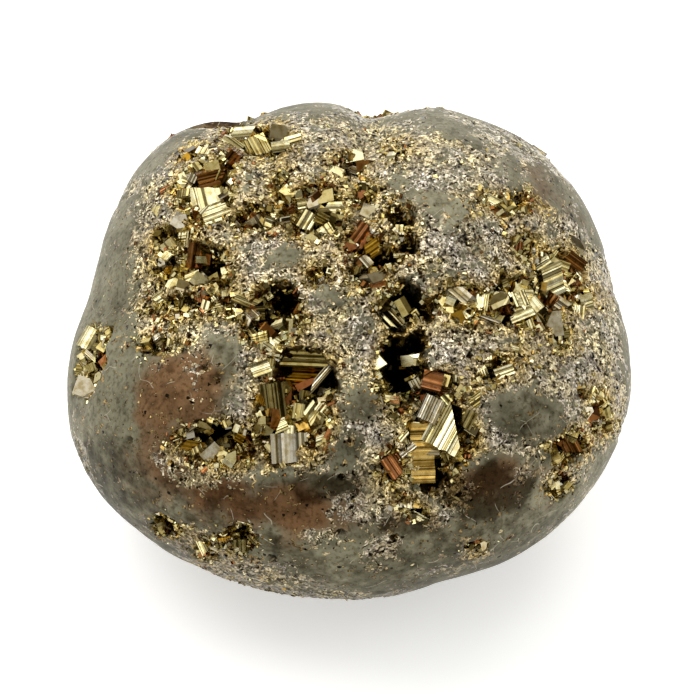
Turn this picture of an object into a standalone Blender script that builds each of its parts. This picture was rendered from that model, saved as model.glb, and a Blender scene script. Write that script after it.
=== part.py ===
"""A tumbled pyrite nodule, 40 mm wide, as one solid.

The stone grew as one intergrown mass. Tumbling rounded its outside into a low pebble with smooth
polished areas. Between them the surface is sunk and rough, with open pits and crystals that have
flat faces. The pits are cut out of the pebble and the crystals are fused to it.

Metres, +Z up. The origin is on the surface that the stone rests on, under the middle of its box.
Places on the near side are given as the eye sees them: x to the right and y up, in millimetres,
on a plane through the stone's middle that faces a line of sight VIEW_TILT above the horizon.
"""

import math
import random
from dataclasses import dataclass

import bmesh
import bpy
import numpy as np
from mathutils import Matrix, Vector, noise
from mathutils.bvhtree import BVHTree

MM = 0.001
HALF_WIDTH = 20.0
HALF_DEPTH = 19.2
HALF_HEIGHT = 14.0
BASE_CUT = 0.55
VIEW_TILT = math.radians(55.0)

# How far the rough areas are sunk, how uneven they are, and the width of their edges' ripples.
RECESS = 0.55
ROUGH_HEIGHT = 0.36
RIPPLE = 1.6
FAR_PATCH = 7.0

# A pit wider than this is a jagged blob, and a smaller one is two askew blocks.
JAGGED_PIT = 1.3
JAGGEDNESS = 0.15
ASKEW = 22.0
PIT_TILT = 16.0

# How deep a crystal is rooted, as a share of its reach, and how far it stands out of the pebble.
CRYSTAL_ROOT = 0.45
CRYSTAL_PROUD = 0.12
TERRACE = 0.16
DRUSE_CRYSTALS = 76
DRUSE_SIDES = (1.1, 2.2)
DRUSE_FLATTEST = 0.7
DRUSE_GAP = 1.9

# Nothing is cut or added lower than this share of the half height below the middle.
LOWEST = 0.72
GOLDEN_ANGLE = math.radians(137.5)
SEED = 17

RIGHT = np.array((1.0, 0.0, 0.0))
UP = np.array((0.0, math.sin(VIEW_TILT), math.cos(VIEW_TILT)))
TOWARDS = np.array((0.0, -math.cos(VIEW_TILT), math.sin(VIEW_TILT)))
SEEN_HALF_HEIGHT = math.hypot(HALF_DEPTH * math.sin(VIEW_TILT), HALF_HEIGHT * math.cos(VIEW_TILT))
MIDDLE = Vector((0.0, 0.0, (HALF_HEIGHT - BASE_CUT) * MM))

# The stone's outline, anticlockwise from its right-hand edge.
OUTLINE = (
    (19.9, 0.0), (19.1, 3.4), (16.7, 9.6), (12.4, 14.9), (9.5, 16.4), (5.7, 17.4), (3.0, 17.0),
    (1.3, 16.7), (0.0, 17.3), (-3.1, 17.7), (-6.1, 17.0), (-8.1, 16.3), (-9.4, 16.4), (-12.8, 15.3),
    (-15.3, 12.9), (-16.9, 9.9), (-18.9, 3.4), (-19.9, 0.1), (-20.1, -3.5), (-19.5, -7.1),
    (-17.7, -10.2), (-15.1, -12.7), (-9.3, -16.1), (-3.1, -17.6), (3.1, -17.4), (6.1, -16.5),
    (12.1, -14.4), (17.1, -9.9), (19.9, -3.5),
)

# Broad swells and dents of the near side: x, y, spread and height.
SWELLS = (
    (-12.5, -6.5, 5.0, 0.50), (-9.5, 12.5, 3.0, 0.40), (-3.0, 14.5, 2.6, 0.30), (8.5, 12.0, 3.6, 0.45),
    (-7.3, 14.6, 1.2, -0.60), (1.6, 14.8, 1.4, -0.70), (12.5, -4.0, 3.4, 0.45), (-1.0, 3.5, 2.6, 0.35),
    (6.0, -12.5, 4.0, 0.30), (0.5, -4.5, 2.0, 0.45), (16.0, 2.0, 3.0, -0.30), (4.5, -7.5, 1.8, -0.60),
    (-3.6, -2.4, 2.2, -0.60), (-9.9, -5.8, 1.8, -0.50), (-10.5, 8.6, 2.4, -0.45), (3.6, 1.0, 2.4, -0.70),
)
# Swells and dents of the sides that face away, spread evenly over them: spread and height.
FAR_SWELLS = ((4.0, 0.50), (3.0, -0.55), (5.0, 0.35), (3.4, 0.40), (2.6, -0.50), (4.4, 0.30))
# Pits in the sides that face away, spread evenly over them: half widths.
FAR_PITS = (1.9, 1.1, 1.6, 0.9, 2.1, 1.3, 1.0, 1.7, 1.2, 0.9, 1.8, 1.1, 1.5, 1.0)
FAR_PIT_HEIGHT = 0.75
FAR_PIT_DEPTH = 1.05
FAR_PIT_TURN = 50.0


@dataclass(frozen=True)
class Patch:
    """An oval area on the near side: centre, half width, half height and its turn in degrees."""

    x: float
    y: float
    half_width: float
    half_height: float
    turn: float = 0.0


POLISHED = (
    Patch(-18.2, 1.4, 2.9, 7.9, -8), Patch(-14.3, -5.0, 5.4, 5.4), Patch(-10.7, -2.9, 3.6, 3.9),
    Patch(-8.6, -0.4, 1.4, 2.3), Patch(-12.9, -10.0, 6.4, 3.9, -35), Patch(-3.6, -12.1, 8.6, 3.2),
    Patch(5.7, -13.9, 9.3, 3.0, 8), Patch(12.1, -10.7, 5.4, 2.9, 30), Patch(10.0, -8.6, 2.5, 1.8),
    Patch(12.5, -4.1, 3.0, 1.9, -10), Patch(0.7, -3.7, 1.7, 1.9), Patch(0.9, -7.5, 1.2, 2.4, 15),
    Patch(-5.4, 6.6, 1.6, 0.9), Patch(6.3, 10.1, 2.1, 1.0, -20), Patch(7.1, 15.9, 2.7, 1.1, -25),
    Patch(11.3, 13.0, 0.9, 1.6, 10), Patch(14.3, 11.1, 3.0, 1.3, -52), Patch(18.9, 1.4, 1.0, 7.1, 5),
    Patch(-3.6, 17.1, 4.3, 0.7), Patch(-13.2, 14.3, 4.3, 0.9, 40), Patch(-16.8, 7.1, 1.6, 3.6, -20),
)
SUNK = (
    Patch(-9.6, -6.4, 3.2, 2.0), Patch(5.7, -10.7, 3.6, 2.0), Patch(-10.4, -13.2, 3.2, 1.1, -25),
    Patch(-0.7, -12.9, 1.4, 1.0), Patch(-18.1, -0.7, 1.0, 3.0, -15), Patch(-13.2, 0.4, 1.6, 0.9),
    Patch(8.6, -13.9, 1.6, 0.7), Patch(-0.4, -16.3, 2.9, 0.6),
)


@dataclass(frozen=True)
class Pit(Patch):
    """An open pit in the near side, with its depth."""

    depth: float = 1.0


PITS = (
    Pit(-6.3, 15.6, 0.6, 1.0, 0, 1.5), Pit(-10.4, 11.8, 2.1, 1.4, 20, 1.9),
    Pit(-13.2, 8.4, 1.1, 0.7, 0, 1.4), Pit(-10.7, 6.3, 2.1, 1.2, 20, 2.1), Pit(-5.1, 3.4, 1.7, 1.6, 0, 2.5),
    Pit(0.2, 13.6, 1.0, 0.7, 0, 1.3), Pit(3.3, 14.3, 0.7, 0.7, 0, 1.1), Pit(3.6, 9.4, 1.2, 1.0, -30, 1.9),
    Pit(2.5, 6.7, 1.4, 0.9, 0, 1.9), Pit(3.7, -1.6, 1.8, 2.7, 8, 4.6), Pit(3.2, 3.0, 1.0, 1.6, -20, 2.8),
    Pit(-3.4, -2.5, 2.7, 2.2, 0, 2.7), Pit(-9.9, -6.3, 1.9, 1.2, 0, 2.3), Pit(5.9, -9.3, 1.0, 1.0, 0, 2.3),
    Pit(10.4, -1.4, 1.0, 0.6, 35, 1.5), Pit(17.4, -5.2, 0.7, 1.0, 0, 1.5),
    Pit(14.8, -6.9, 0.9, 0.7, 0, 1.4), Pit(-12.8, -11.9, 0.8, 0.6, -25, 1.3),
    Pit(-7.9, -12.9, 0.8, 0.7, 0, 1.6), Pit(-18.1, -0.7, 0.9, 2.7, -12, 1.2),
    Pit(-2.1, 8.9, 0.9, 0.7, 0, 1.5), Pit(11.8, 2.1, 1.4, 0.7, 0, 1.3), Pit(12.0, 10.9, 0.7, 0.6, 0, 1.0),
    Pit(14.7, -9.5, 0.8, 0.6, 0, 1.1), Pit(6.4, -3.0, 1.0, 0.8, 20, 2.2), Pit(16.4, -3.0, 0.6, 0.5, 0, 1.1),
    Pit(8.6, -13.6, 0.7, 0.5, 0, 1.0),
)


@dataclass(frozen=True)
class Crystal:
    """A crystal with its centre as seen, its three sides, and how it is turned, in degrees.

    turn is about the line of sight, pitch about the level line to the right and yaw about the
    line upwards. terraced gives it a stepped growth face.
    """

    x: float
    y: float
    width: float
    height: float
    length: float
    turn: float = 0.0
    pitch: float = 0.0
    yaw: float = 0.0
    terraced: bool = False


CRYSTALS = (
    Crystal(-9.8, 10.1, 2.5, 2.2, 2.2, 12, 42, 8, True), Crystal(-4.9, 14.9, 1.7, 1.5, 1.5, -8, 35, 20),
    Crystal(-6.6, 14.2, 1.7, 1.3, 1.4, 15, 20, -30), Crystal(-12.0, 9.1, 1.0, 1.0, 1.0, 35, 20, 10),
    Crystal(-2.0, 9.5, 1.7, 1.1, 1.4, -25, 30, 15), Crystal(-0.9, 10.4, 1.5, 0.9, 1.2, 5, -15, 10),
    Crystal(-3.2, 9.1, 0.9, 1.1, 1.0, -30, 10, 20), Crystal(0.6, 7.9, 1.6, 1.2, 1.4, 42, 25, 28),
    Crystal(1.9, 4.9, 1.4, 1.2, 1.3, -12, 32, 12), Crystal(3.0, 1.9, 2.3, 2.9, 2.0, -34, 18, 24, True),
    Crystal(-3.1, -0.9, 3.0, 1.9, 2.0, 0, 25, -8, True), Crystal(-6.3, -1.4, 1.2, 1.0, 1.1, 18, 15, 25),
    Crystal(-1.8, -1.6, 2.3, 0.5, 1.2, 50, 15, 0), Crystal(-5.0, -3.9, 2.2, 2.6, 1.8, -10, -20, 30),
    Crystal(-4.5, -6.7, 2.5, 2.0, 2.0, 2, 22, 6, True), Crystal(-2.8, -4.4, 0.9, 0.9, 0.9, 40, 20, 20),
    Crystal(5.8, -2.1, 1.2, 1.0, 1.1, -12, 15, 25), Crystal(6.9, -5.4, 2.4, 3.0, 2.4, -32, 15, -22, True),
    Crystal(5.9, -4.1, 1.6, 1.4, 1.4, -30, 35, 10), Crystal(4.9, -7.1, 1.5, 3.8, 1.8, 0, 10, 25, True),
    Crystal(8.6, -4.1, 1.4, 1.5, 1.4, 30, 15, 30), Crystal(6.9, 3.1, 0.9, 1.3, 1.1, 20, 10, 15),
    Crystal(7.8, 3.9, 1.1, 1.0, 1.0, 30, 20, 10), Crystal(9.4, 3.4, 1.0, 1.1, 1.0, 0, 20, 30),
    Crystal(10.8, 2.7, 1.2, 1.2, 1.1, 25, 25, 5), Crystal(12.2, 2.6, 1.6, 0.7, 1.0, 20, 25, 10),
    Crystal(13.4, 1.7, 0.7, 1.5, 1.0, 35, 15, 10), Crystal(14.4, 2.0, 1.1, 1.5, 1.0, 10, 5, 10),
    Crystal(14.4, 4.9, 1.4, 2.0, 1.4, 30, 12, 15, True), Crystal(13.6, 6.2, 1.2, 0.9, 1.0, 35, 20, 10),
    Crystal(15.7, 6.5, 2.3, 1.2, 1.3, -32, 15, 15), Crystal(12.7, 7.8, 1.1, 1.2, 1.0, -15, 10, 20),
    Crystal(15.4, -6.9, 1.5, 1.2, 1.2, 30, 15, 25), Crystal(18.1, -5.7, 1.1, 1.0, 1.0, 25, 20, 10),
    Crystal(3.1, -8.0, 1.5, 1.3, 1.2, -50, 20, 15), Crystal(-18.4, -2.7, 1.2, 1.4, 1.0, -20, 15, -20),
    Crystal(-17.9, -0.4, 1.0, 1.0, 0.9, 25, 20, -15), Crystal(-12.9, 3.9, 1.6, 0.7, 1.0, 32, 20, 5),
    Crystal(-9.3, 3.0, 1.4, 0.8, 1.0, 12, 25, 15), Crystal(-8.6, 13.2, 1.3, 1.6, 1.2, -38, 25, -20),
    Crystal(-12.5, 7.7, 1.8, 0.7, 1.1, 28, 25, 0), Crystal(-11.1, 12.4, 1.9, 1.0, 1.3, 12, -30, 10),
    Crystal(-2.0, 15.8, 1.2, 1.0, 1.0, 8, 20, 10), Crystal(1.2, 9.7, 1.1, 0.9, 1.0, 28, 18, 12),
    Crystal(-5.9, 2.6, 1.3, 1.0, 1.2, -5, 28, 12), Crystal(1.6, 0.2, 1.1, 1.2, 1.0, 12, 10, 30),
)


def smoothstep(low, high, value):
    """0 below low, 1 above high and a smooth rise between."""
    share = np.clip((value - low) / (high - low), 0.0, 1.0)
    return share * share * (3.0 - 2.0 * share)


def noise_at(points, size, shift):
    """Smooth noise from -1 to 1 whose swirls are about size millimetres wide."""
    return np.array([noise.noise(p) for p in (points / size + shift).tolist()])


def outline_radius(angles):
    """How far the outline lies from the middle, on a smooth closed curve through its points."""
    corners = np.array(OUTLINE)
    at = np.arctan2(corners[:, 1], corners[:, 0]) % math.tau
    order = np.argsort(at)
    at, reach = at[order], np.hypot(corners[:, 0], corners[:, 1])[order]
    at = np.concatenate((at[-2:] - math.tau, at, at[:3] + math.tau))
    reach = np.concatenate((reach[-2:], reach, reach[:3]))
    slopes = np.gradient(reach, at)
    angles = angles % math.tau
    i = np.clip(np.searchsorted(at, angles, side="right") - 1, 0, len(at) - 2)
    gap = at[i + 1] - at[i]
    t = (angles - at[i]) / gap
    return (
        (2 * t**3 - 3 * t**2 + 1) * reach[i]
        + (t**3 - 2 * t**2 + t) * gap * slopes[i]
        + (3 * t**2 - 2 * t**3) * reach[i + 1]
        + (t**3 - t**2) * gap * slopes[i + 1]
    )


def edge_share(directions, low, high):
    """0 where the stone faces the eye or faces away, 1 along its outline."""
    return smoothstep(low, high, np.hypot(directions @ RIGHT, directions @ UP))


def pebble_radius(directions):
    """Radius of the rounded pebble, in millimetres, along unit directions from its middle."""
    halves = np.array((HALF_WIDTH, HALF_DEPTH, HALF_HEIGHT))
    oval = 1.0 / np.sqrt(((directions / halves) ** 2).sum(axis=1))
    angle = np.arctan2(directions @ UP, directions @ RIGHT)
    oval_seen = 1.0 / np.sqrt((np.cos(angle) / HALF_WIDTH) ** 2 + (np.sin(angle) / SEEN_HALF_HEIGHT) ** 2)
    return oval * (1.0 + (outline_radius(angle) / oval_seen - 1.0) * edge_share(directions, 0.35, 0.85))


def near_point(x, y):
    """The pebble's point that is seen at x, y on the near side, from its middle, in millimetres."""
    low, high = 0.0, 1.5 * HALF_WIDTH
    for _ in range(40):
        middle = (low + high) / 2
        point = x * RIGHT + y * UP + middle * TOWARDS
        reach = np.linalg.norm(point)
        if reach > pebble_radius(point[None] / reach)[0]:
            high = middle
        else:
            low = middle
    return x * RIGHT + y * UP + low * TOWARDS


def far_directions(count, turn):
    """Unit directions spread evenly over the half of the stone that faces away from the eye."""
    directions = []
    for i in range(count):
        depth = -0.12 - 0.8 * i / (count - 1)
        angle = turn + i * GOLDEN_ANGLE
        reach = math.sqrt(1.0 - depth * depth)
        directions.append(reach * math.cos(angle) * RIGHT + reach * math.sin(angle) * UP + depth * TOWARDS)
    return np.array(directions)


def swollen_radius(directions):
    """The pebble's radius with its swells and dents, which fade out where it rests."""
    radius = pebble_radius(directions)
    points = directions * radius[:, None]
    middles = [(near_point(x, y), spread, height) for x, y, spread, height in SWELLS]
    for direction, (spread, height) in zip(far_directions(len(FAR_SWELLS), 0.6), FAR_SWELLS):
        middles.append((direction * pebble_radius(direction[None])[0], spread, height))
    swell = np.zeros(len(radius))
    for middle, spread, height in middles:
        gap = np.linalg.norm(points - middle, axis=1)
        swell += height * np.exp(-0.5 * (gap / spread) ** 2)
    return radius + swell * (1.0 - smoothstep(0.6, 0.9, -directions[:, 2]))


def inside_share(patches, x, y):
    """How deep inside the nearest oval each place lies: 1 at its centre, 0 on its rim, less outside."""
    best = np.full(len(x), -9.0)
    for patch in patches:
        turn = math.radians(patch.turn)
        across = (x - patch.x) * math.cos(turn) + (y - patch.y) * math.sin(turn)
        along = (y - patch.y) * math.cos(turn) - (x - patch.x) * math.sin(turn)
        best = np.maximum(best, 1.0 - np.hypot(across / patch.half_width, along / patch.half_height))
    return best


def roughness_share(directions):
    """1 where the surface is sunk and rough, 0 where tumbling has polished it."""
    points = directions * pebble_radius(directions)[:, None]
    x, y, depth = points @ RIGHT, points @ UP, points @ TOWARDS
    ripple = noise_at(points, RIPPLE, 3.1)
    near = smoothstep(-0.10, 0.16, inside_share(POLISHED, x, y) + 0.30 * ripple)
    near *= 1.0 - smoothstep(-0.10, 0.20, inside_share(SUNK, x, y) + 0.25 * ripple)
    far = smoothstep(-0.06, 0.10, noise_at(points, FAR_PATCH, 11.7) + 0.06 + 0.15 * ripple)
    far = np.maximum(far, smoothstep(0.80, 0.90, -directions[:, 2]))
    facing = smoothstep(-5.0, -0.5, depth)
    return 1.0 - (near * facing + far * (1.0 - facing))


def clear_scene():
    """Removes every object that the file holds."""
    for obj in list(bpy.data.objects):
        bpy.data.objects.remove(obj)


def add_object(name, bm, helpers=None):
    """A new object from a bmesh, drawn as wire in the helpers collection where one is given."""
    mesh = bpy.data.meshes.new(name)
    bm.to_mesh(mesh)
    bm.free()
    obj = bpy.data.objects.new(name, mesh)
    (helpers or bpy.context.scene.collection).objects.link(obj)
    if helpers:
        obj.hide_render = True
        obj.display_type = "WIRE"
    return obj


def add_helpers(name):
    """A collection for the shapes that are cut out of the pebble or joined to it."""
    helpers = bpy.data.collections.new(name)
    bpy.context.scene.collection.children.link(helpers)
    return helpers


def unit_directions(bm):
    """The directions of a bmesh's vertices from the middle."""
    return np.array([v.co.normalized() for v in bm.verts])


def make_pebble(rng):
    """The rounded body with its sunk, broken areas, cut flat where it rests."""
    bm = bmesh.new()
    bmesh.ops.create_icosphere(bm, subdivisions=4, radius=1.0)
    rough = roughness_share(unit_directions(bm))
    broken = [e for e in bm.edges if max(rough[v.index] for v in e.verts) > 0.6]
    bmesh.ops.subdivide_edges(bm, edges=broken, cuts=1, use_grid_fill=True)
    bmesh.ops.triangulate(bm, faces=bm.faces[:])
    directions = unit_directions(bm)
    rough = roughness_share(directions)
    chips = np.array([rng.uniform(-0.5, 0.5) for _ in bm.verts])
    sunk = RECESS * (1.0 - 0.8 * edge_share(directions, 0.85, 1.0)) + ROUGH_HEIGHT * chips
    radius = swollen_radius(directions) - rough * sunk
    for vertex, direction, reach in zip(bm.verts, directions, radius):
        vertex.co = Vector(direction * reach * MM) + MIDDLE
    whole = bm.verts[:] + bm.edges[:] + bm.faces[:]
    bmesh.ops.bisect_plane(bm, geom=whole, plane_co=(0, 0, 0), plane_no=(0, 0, -1), clear_outer=True)
    bmesh.ops.edgeloop_fill(bm, edges=[e for e in bm.edges if e.is_boundary])
    bmesh.ops.recalc_face_normals(bm, faces=bm.faces[:])
    return add_object("pyrite_nodule", bm)


def surface_frame(point):
    """A turn matrix whose Z looks out of the pebble at a point and whose X is as level as it can be."""
    out = Vector(point).normalized()
    level = Vector(RIGHT) - out * out.dot(Vector(RIGHT))
    if level.length < 0.2:
        level = Vector(UP) - out * out.dot(Vector(UP))
    level.normalize()
    return Matrix((level, out.cross(level), out)).transposed()


def placed(bm, turned, place):
    """The bmesh turned and moved to a place given in millimetres from the middle."""
    matrix = turned.to_4x4()
    matrix.translation = Vector(place) * MM + MIDDLE
    bm.transform(matrix)
    return bm


def jagged_blob(rng):
    """A ball of radius 1 whose corners are pulled in and out."""
    bm = bmesh.new()
    bmesh.ops.create_icosphere(bm, subdivisions=2, radius=1.0)
    for vertex in bm.verts:
        vertex.co *= 1.0 + rng.uniform(-JAGGEDNESS, JAGGEDNESS)
    return bm


def block():
    """A block that about fills a ball of radius 1."""
    bm = bmesh.new()
    bmesh.ops.create_cube(bm, size=1.75)
    return bm


def add_pit_cutters(name, point, half_sizes, turn, rng, helpers):
    """What one pit is cut with, sunk in the pebble at a point."""
    large = min(half_sizes[:2]) > JAGGED_PIT
    shapes = [jagged_blob(rng)] if large else [block(), block()]
    for part, bm in enumerate(shapes):
        bmesh.ops.scale(bm, vec=[half * MM for half in half_sizes], verts=bm.verts[:])
        askew = Matrix.Rotation(math.radians(turn + part * rng.uniform(-ASKEW, ASKEW)), 3, "Z")
        tilt = Matrix.Rotation(math.radians(rng.uniform(-PIT_TILT, PIT_TILT)), 3, "X")
        add_object(f"{name}_{part}", placed(bm, surface_frame(point) @ askew @ tilt, point), helpers)


def make_pit_cutters(rng, helpers):
    """The cutters of all pits. It returns where each pit is and how wide it is."""
    places = []
    for i, pit in enumerate(PITS):
        point = near_point(pit.x, pit.y)
        halves = (pit.half_width, pit.half_height, pit.depth)
        add_pit_cutters(f"pit_{i:02d}", point, halves, pit.turn, rng, helpers)
        places.append((point, max(halves[:2])))
    for i, (direction, width) in enumerate(zip(far_directions(len(FAR_PITS), 2.1), FAR_PITS)):
        point = direction * pebble_radius(direction[None])[0]
        if point[2] < -LOWEST * HALF_HEIGHT:
            continue
        halves = (width, width * FAR_PIT_HEIGHT, width * FAR_PIT_DEPTH)
        add_pit_cutters(f"far_pit_{i:02d}", point, halves, FAR_PIT_TURN * i, rng, helpers)
        places.append((point, width))
    return places


def boolean(obj, operation, helpers):
    """Cuts the helpers' shapes out of obj, or joins them to it, and keeps the result as its mesh."""
    modifier = obj.modifiers.new(operation.lower(), "BOOLEAN")
    modifier.operation = operation
    modifier.operand_type = "COLLECTION"
    modifier.collection = helpers
    modifier.solver = "EXACT"
    graph = bpy.context.evaluated_depsgraph_get()
    result = bpy.data.meshes.new_from_object(obj.evaluated_get(graph))
    obj.modifiers.remove(modifier)
    obj.data = result


def keep_outer_shell(obj):
    """Fills the small hollows that touching crystals close off, by dropping their inner shells."""
    bm = bmesh.new()
    bm.from_mesh(obj.data)
    left = set(bm.faces)
    shells = []
    while left:
        shell = {left.pop()}
        rim = list(shell)
        while rim:
            nearby = {f for e in rim.pop().edges for f in e.link_faces} & left
            left -= nearby
            shell |= nearby
            rim += nearby
        shells.append(shell)
    outer = max(shells, key=len)
    inner = [f for shell in shells if shell is not outer for f in shell]
    bmesh.ops.delete(bm, geom=inner, context="FACES")
    bm.to_mesh(obj.data)
    bm.free()


def crystal_block(sides, terraced):
    """A crystal as a block with flat faces. A terraced one has a stepped growth face towards the eye."""
    bm = bmesh.new()
    bmesh.ops.create_cube(bm, size=1.0)
    bmesh.ops.scale(bm, vec=[side * MM for side in sides], verts=bm.verts[:])
    if terraced:
        front = [f for f in bm.faces if f.normal.z > 0.9]
        step = TERRACE * min(sides[:2]) * MM
        bmesh.ops.inset_region(bm, faces=front, thickness=step, depth=0.0)
        bmesh.ops.translate(bm, vec=(step * 0.3, -step * 0.3, step * 0.8), verts=front[0].verts[:])
    return bm


def seat_crystal(name, point, sides, turned, terraced, tree, helpers):
    """Adds a crystal at a point, rooted in the surface there and no prouder than the pebble."""
    out = Vector(point).normalized()
    hit = tree.ray_cast((Vector(point) + out * HALF_HEIGHT) * MM + MIDDLE, -out)[0]
    ground = ((hit - MIDDLE) / MM - Vector(point)).dot(out)
    reach = sum(abs(turned.col[i].dot(out)) * sides[i] for i in range(3)) / 2
    height = min(ground + reach * (1.0 - 2.0 * CRYSTAL_ROOT), CRYSTAL_PROUD - reach)
    bm = crystal_block(sides, terraced)
    add_object(name, placed(bm, turned, Vector(point) + out * height), helpers)


def add_near_crystals(tree, helpers):
    """The large crystals that are seen. It returns where they are."""
    view = Matrix((Vector(RIGHT), Vector(UP), Vector(TOWARDS))).transposed()
    places = []
    for i, crystal in enumerate(CRYSTALS):
        turned = (
            view
            @ Matrix.Rotation(math.radians(crystal.turn), 3, "Z")
            @ Matrix.Rotation(math.radians(crystal.pitch), 3, "X")
            @ Matrix.Rotation(math.radians(crystal.yaw), 3, "Y")
        )
        sides = (crystal.width, crystal.height, crystal.length)
        point = near_point(crystal.x, crystal.y)
        seat_crystal(f"crystal_{i:02d}", point, sides, turned, crystal.terraced, tree, helpers)
        places.append((point, max(sides) / 2))
    return places


def add_druse(taken, tree, rng, helpers):
    """Small crystals all over the rough areas, turned every way and clear of the places taken."""
    made = 0
    while made < DRUSE_CRYSTALS:
        direction = np.array([rng.gauss(0, 1) for _ in range(3)])
        direction /= np.linalg.norm(direction)
        point = direction * pebble_radius(direction[None])[0]
        if point[2] < -LOWEST * HALF_HEIGHT or roughness_share(direction[None])[0] < 0.8:
            continue
        if any(np.linalg.norm(point - place) < DRUSE_GAP + 0.5 * width for place, width in taken):
            continue
        side = rng.uniform(*DRUSE_SIDES)
        sides = (side, side * rng.uniform(DRUSE_FLATTEST, 1.0), side * rng.uniform(DRUSE_FLATTEST, 1.0))
        axis = Vector([rng.gauss(0, 1) for _ in range(3)])
        turned = Matrix.Rotation(rng.uniform(0, math.tau), 3, axis)
        seat_crystal(f"druse_{made:03d}", point, sides, turned, False, tree, helpers)
        taken.append((point, 0.0))
        made += 1


def make_material():
    """Pale brass metal, half polished."""
    material = bpy.data.materials.new("pyrite")
    material.use_nodes = True
    surface = material.node_tree.nodes["Principled BSDF"]
    surface.inputs["Base Color"].default_value = (0.50, 0.43, 0.26, 1.0)
    surface.inputs["Metallic"].default_value = 1.0
    surface.inputs["Roughness"].default_value = 0.35
    return material


def main():
    """Builds the nodule: the pebble, then its pits, then its crystals."""
    clear_scene()
    rng = random.Random(SEED)
    nodule = make_pebble(rng)
    pits = add_helpers("pit_cutters")
    taken = make_pit_cutters(rng, pits)
    boolean(nodule, "DIFFERENCE", pits)
    bm = bmesh.new()
    bm.from_mesh(nodule.data)
    tree = BVHTree.FromBMesh(bm)
    bm.free()
    crystals = add_helpers("crystal_blocks")
    taken += add_near_crystals(tree, crystals)
    add_druse(taken, tree, rng, crystals)
    boolean(nodule, "UNION", crystals)
    keep_outer_shell(nodule)
    nodule.data.materials.clear()
    nodule.data.materials.append(make_material())


main()
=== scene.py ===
"""The looks of a tumbled pyrite nodule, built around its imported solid.

The stone is one skin with a polished pebble surface, sunk broken areas and open pits, a crust of
small crystals on the broken areas, and the larger striated crystals in the pits. Sizes are in
millimetres until a mesh is written, and meshes are in metres. Places on the near side are given as
the eye sees them: x to the right and y up, on a plane through the stone's middle that faces the
camera.
"""

import logging
import math
from dataclasses import dataclass, field
from enum import Enum
from typing import Optional, Sequence

import bpy
import numpy as np
from mathutils import Matrix, Vector, noise


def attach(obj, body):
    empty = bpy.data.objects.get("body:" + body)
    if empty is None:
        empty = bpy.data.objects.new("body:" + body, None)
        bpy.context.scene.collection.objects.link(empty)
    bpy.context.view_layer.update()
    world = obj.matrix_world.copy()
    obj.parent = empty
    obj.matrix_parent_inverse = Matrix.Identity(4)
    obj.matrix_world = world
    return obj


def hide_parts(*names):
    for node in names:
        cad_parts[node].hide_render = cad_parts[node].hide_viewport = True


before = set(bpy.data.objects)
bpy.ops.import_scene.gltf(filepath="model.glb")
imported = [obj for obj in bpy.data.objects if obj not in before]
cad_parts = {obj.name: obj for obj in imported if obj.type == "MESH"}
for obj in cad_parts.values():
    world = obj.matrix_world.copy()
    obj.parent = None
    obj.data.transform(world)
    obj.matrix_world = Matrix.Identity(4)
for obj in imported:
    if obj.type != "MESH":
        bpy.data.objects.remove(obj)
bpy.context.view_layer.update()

NODE = "pyrite_nodule"
BODY = "root"
MM = 0.001
LOG = logging.getLogger("pyrite")

Array = np.ndarray
Source = bpy.types.Node | bpy.types.NodeSocket | float | tuple
Stops = tuple[tuple[float, str], ...]

MIXED = {"data_type": "RGBA"}
MULTIPLIED = {"data_type": "RGBA", "blend_type": "MULTIPLY"}
TIMES = {"operation": "MULTIPLY"}
HALVES = (0.5, 0.5, 0.5)


def linear(hex_colour: str) -> tuple[float, float, float, float]:
    """Turns an sRGB hex colour into the linear colour that shaders use.

    Args:
        hex_colour: Six hex digits, with or without a leading hash.

    Returns:
        Linear red, green, blue and an alpha of 1.
    """
    digits = hex_colour.lstrip("#")
    channels = [int(digits[i:i + 2], 16) / 255.0 for i in (0, 2, 4)]
    red, green, blue = (c / 12.92 if c <= 0.04045 else ((c + 0.055) / 1.055) ** 2.4 for c in channels)
    return red, green, blue, 1.0


def smoothstep(low: float, high: float, value: Array) -> Array:
    """A smooth rise from 0 to 1.

    Args:
        low: Where the rise starts.
        high: Where it ends.
        value: Where to read it.

    Returns:
        The height of the rise at each value.
    """
    share = np.clip((value - low) / (high - low), 0.0, 1.0)
    return share * share * (3.0 - 2.0 * share)


def swirl(points: Array, size: float, shift: float) -> Array:
    """Smooth noise from -1 to 1.

    Args:
        points: Places in millimetres, one a row.
        size: How wide the noise's swirls are, in millimetres.
        shift: Moves the pattern, so that two readings differ.

    Returns:
        One value for each place.
    """
    return np.array([noise.noise(p) for p in (points / size + shift).tolist()])


def lengths(rows: Array) -> Array:
    """The length of each row."""
    return np.linalg.norm(rows, axis=1)


def unit(rows: Array) -> Array:
    """The rows, each made 1 long."""
    return rows / lengths(rows)[:, None]


def layered(points: Array, layers: Sequence[tuple[float, float, float]]) -> Array:
    """Layers of swirls on top of each other: how high, how wide and how shifted each is."""
    return sum(height * swirl(points, size, shift) for height, size, shift in layers)


def connect(tree: bpy.types.NodeTree, value: Source, socket: bpy.types.NodeSocket) -> None:
    """Links a source to a socket, or sets the socket's own value.

    Args:
        tree: The node tree.
        value: A constant, an output, or a node that stands for its first output in use.
        socket: The input that gets it.
    """
    if isinstance(value, bpy.types.Node):
        value = next(output for output in value.outputs if output.enabled)
    if isinstance(value, bpy.types.NodeSocket):
        tree.links.new(value, socket)
    else:
        socket.default_value = value


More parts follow.
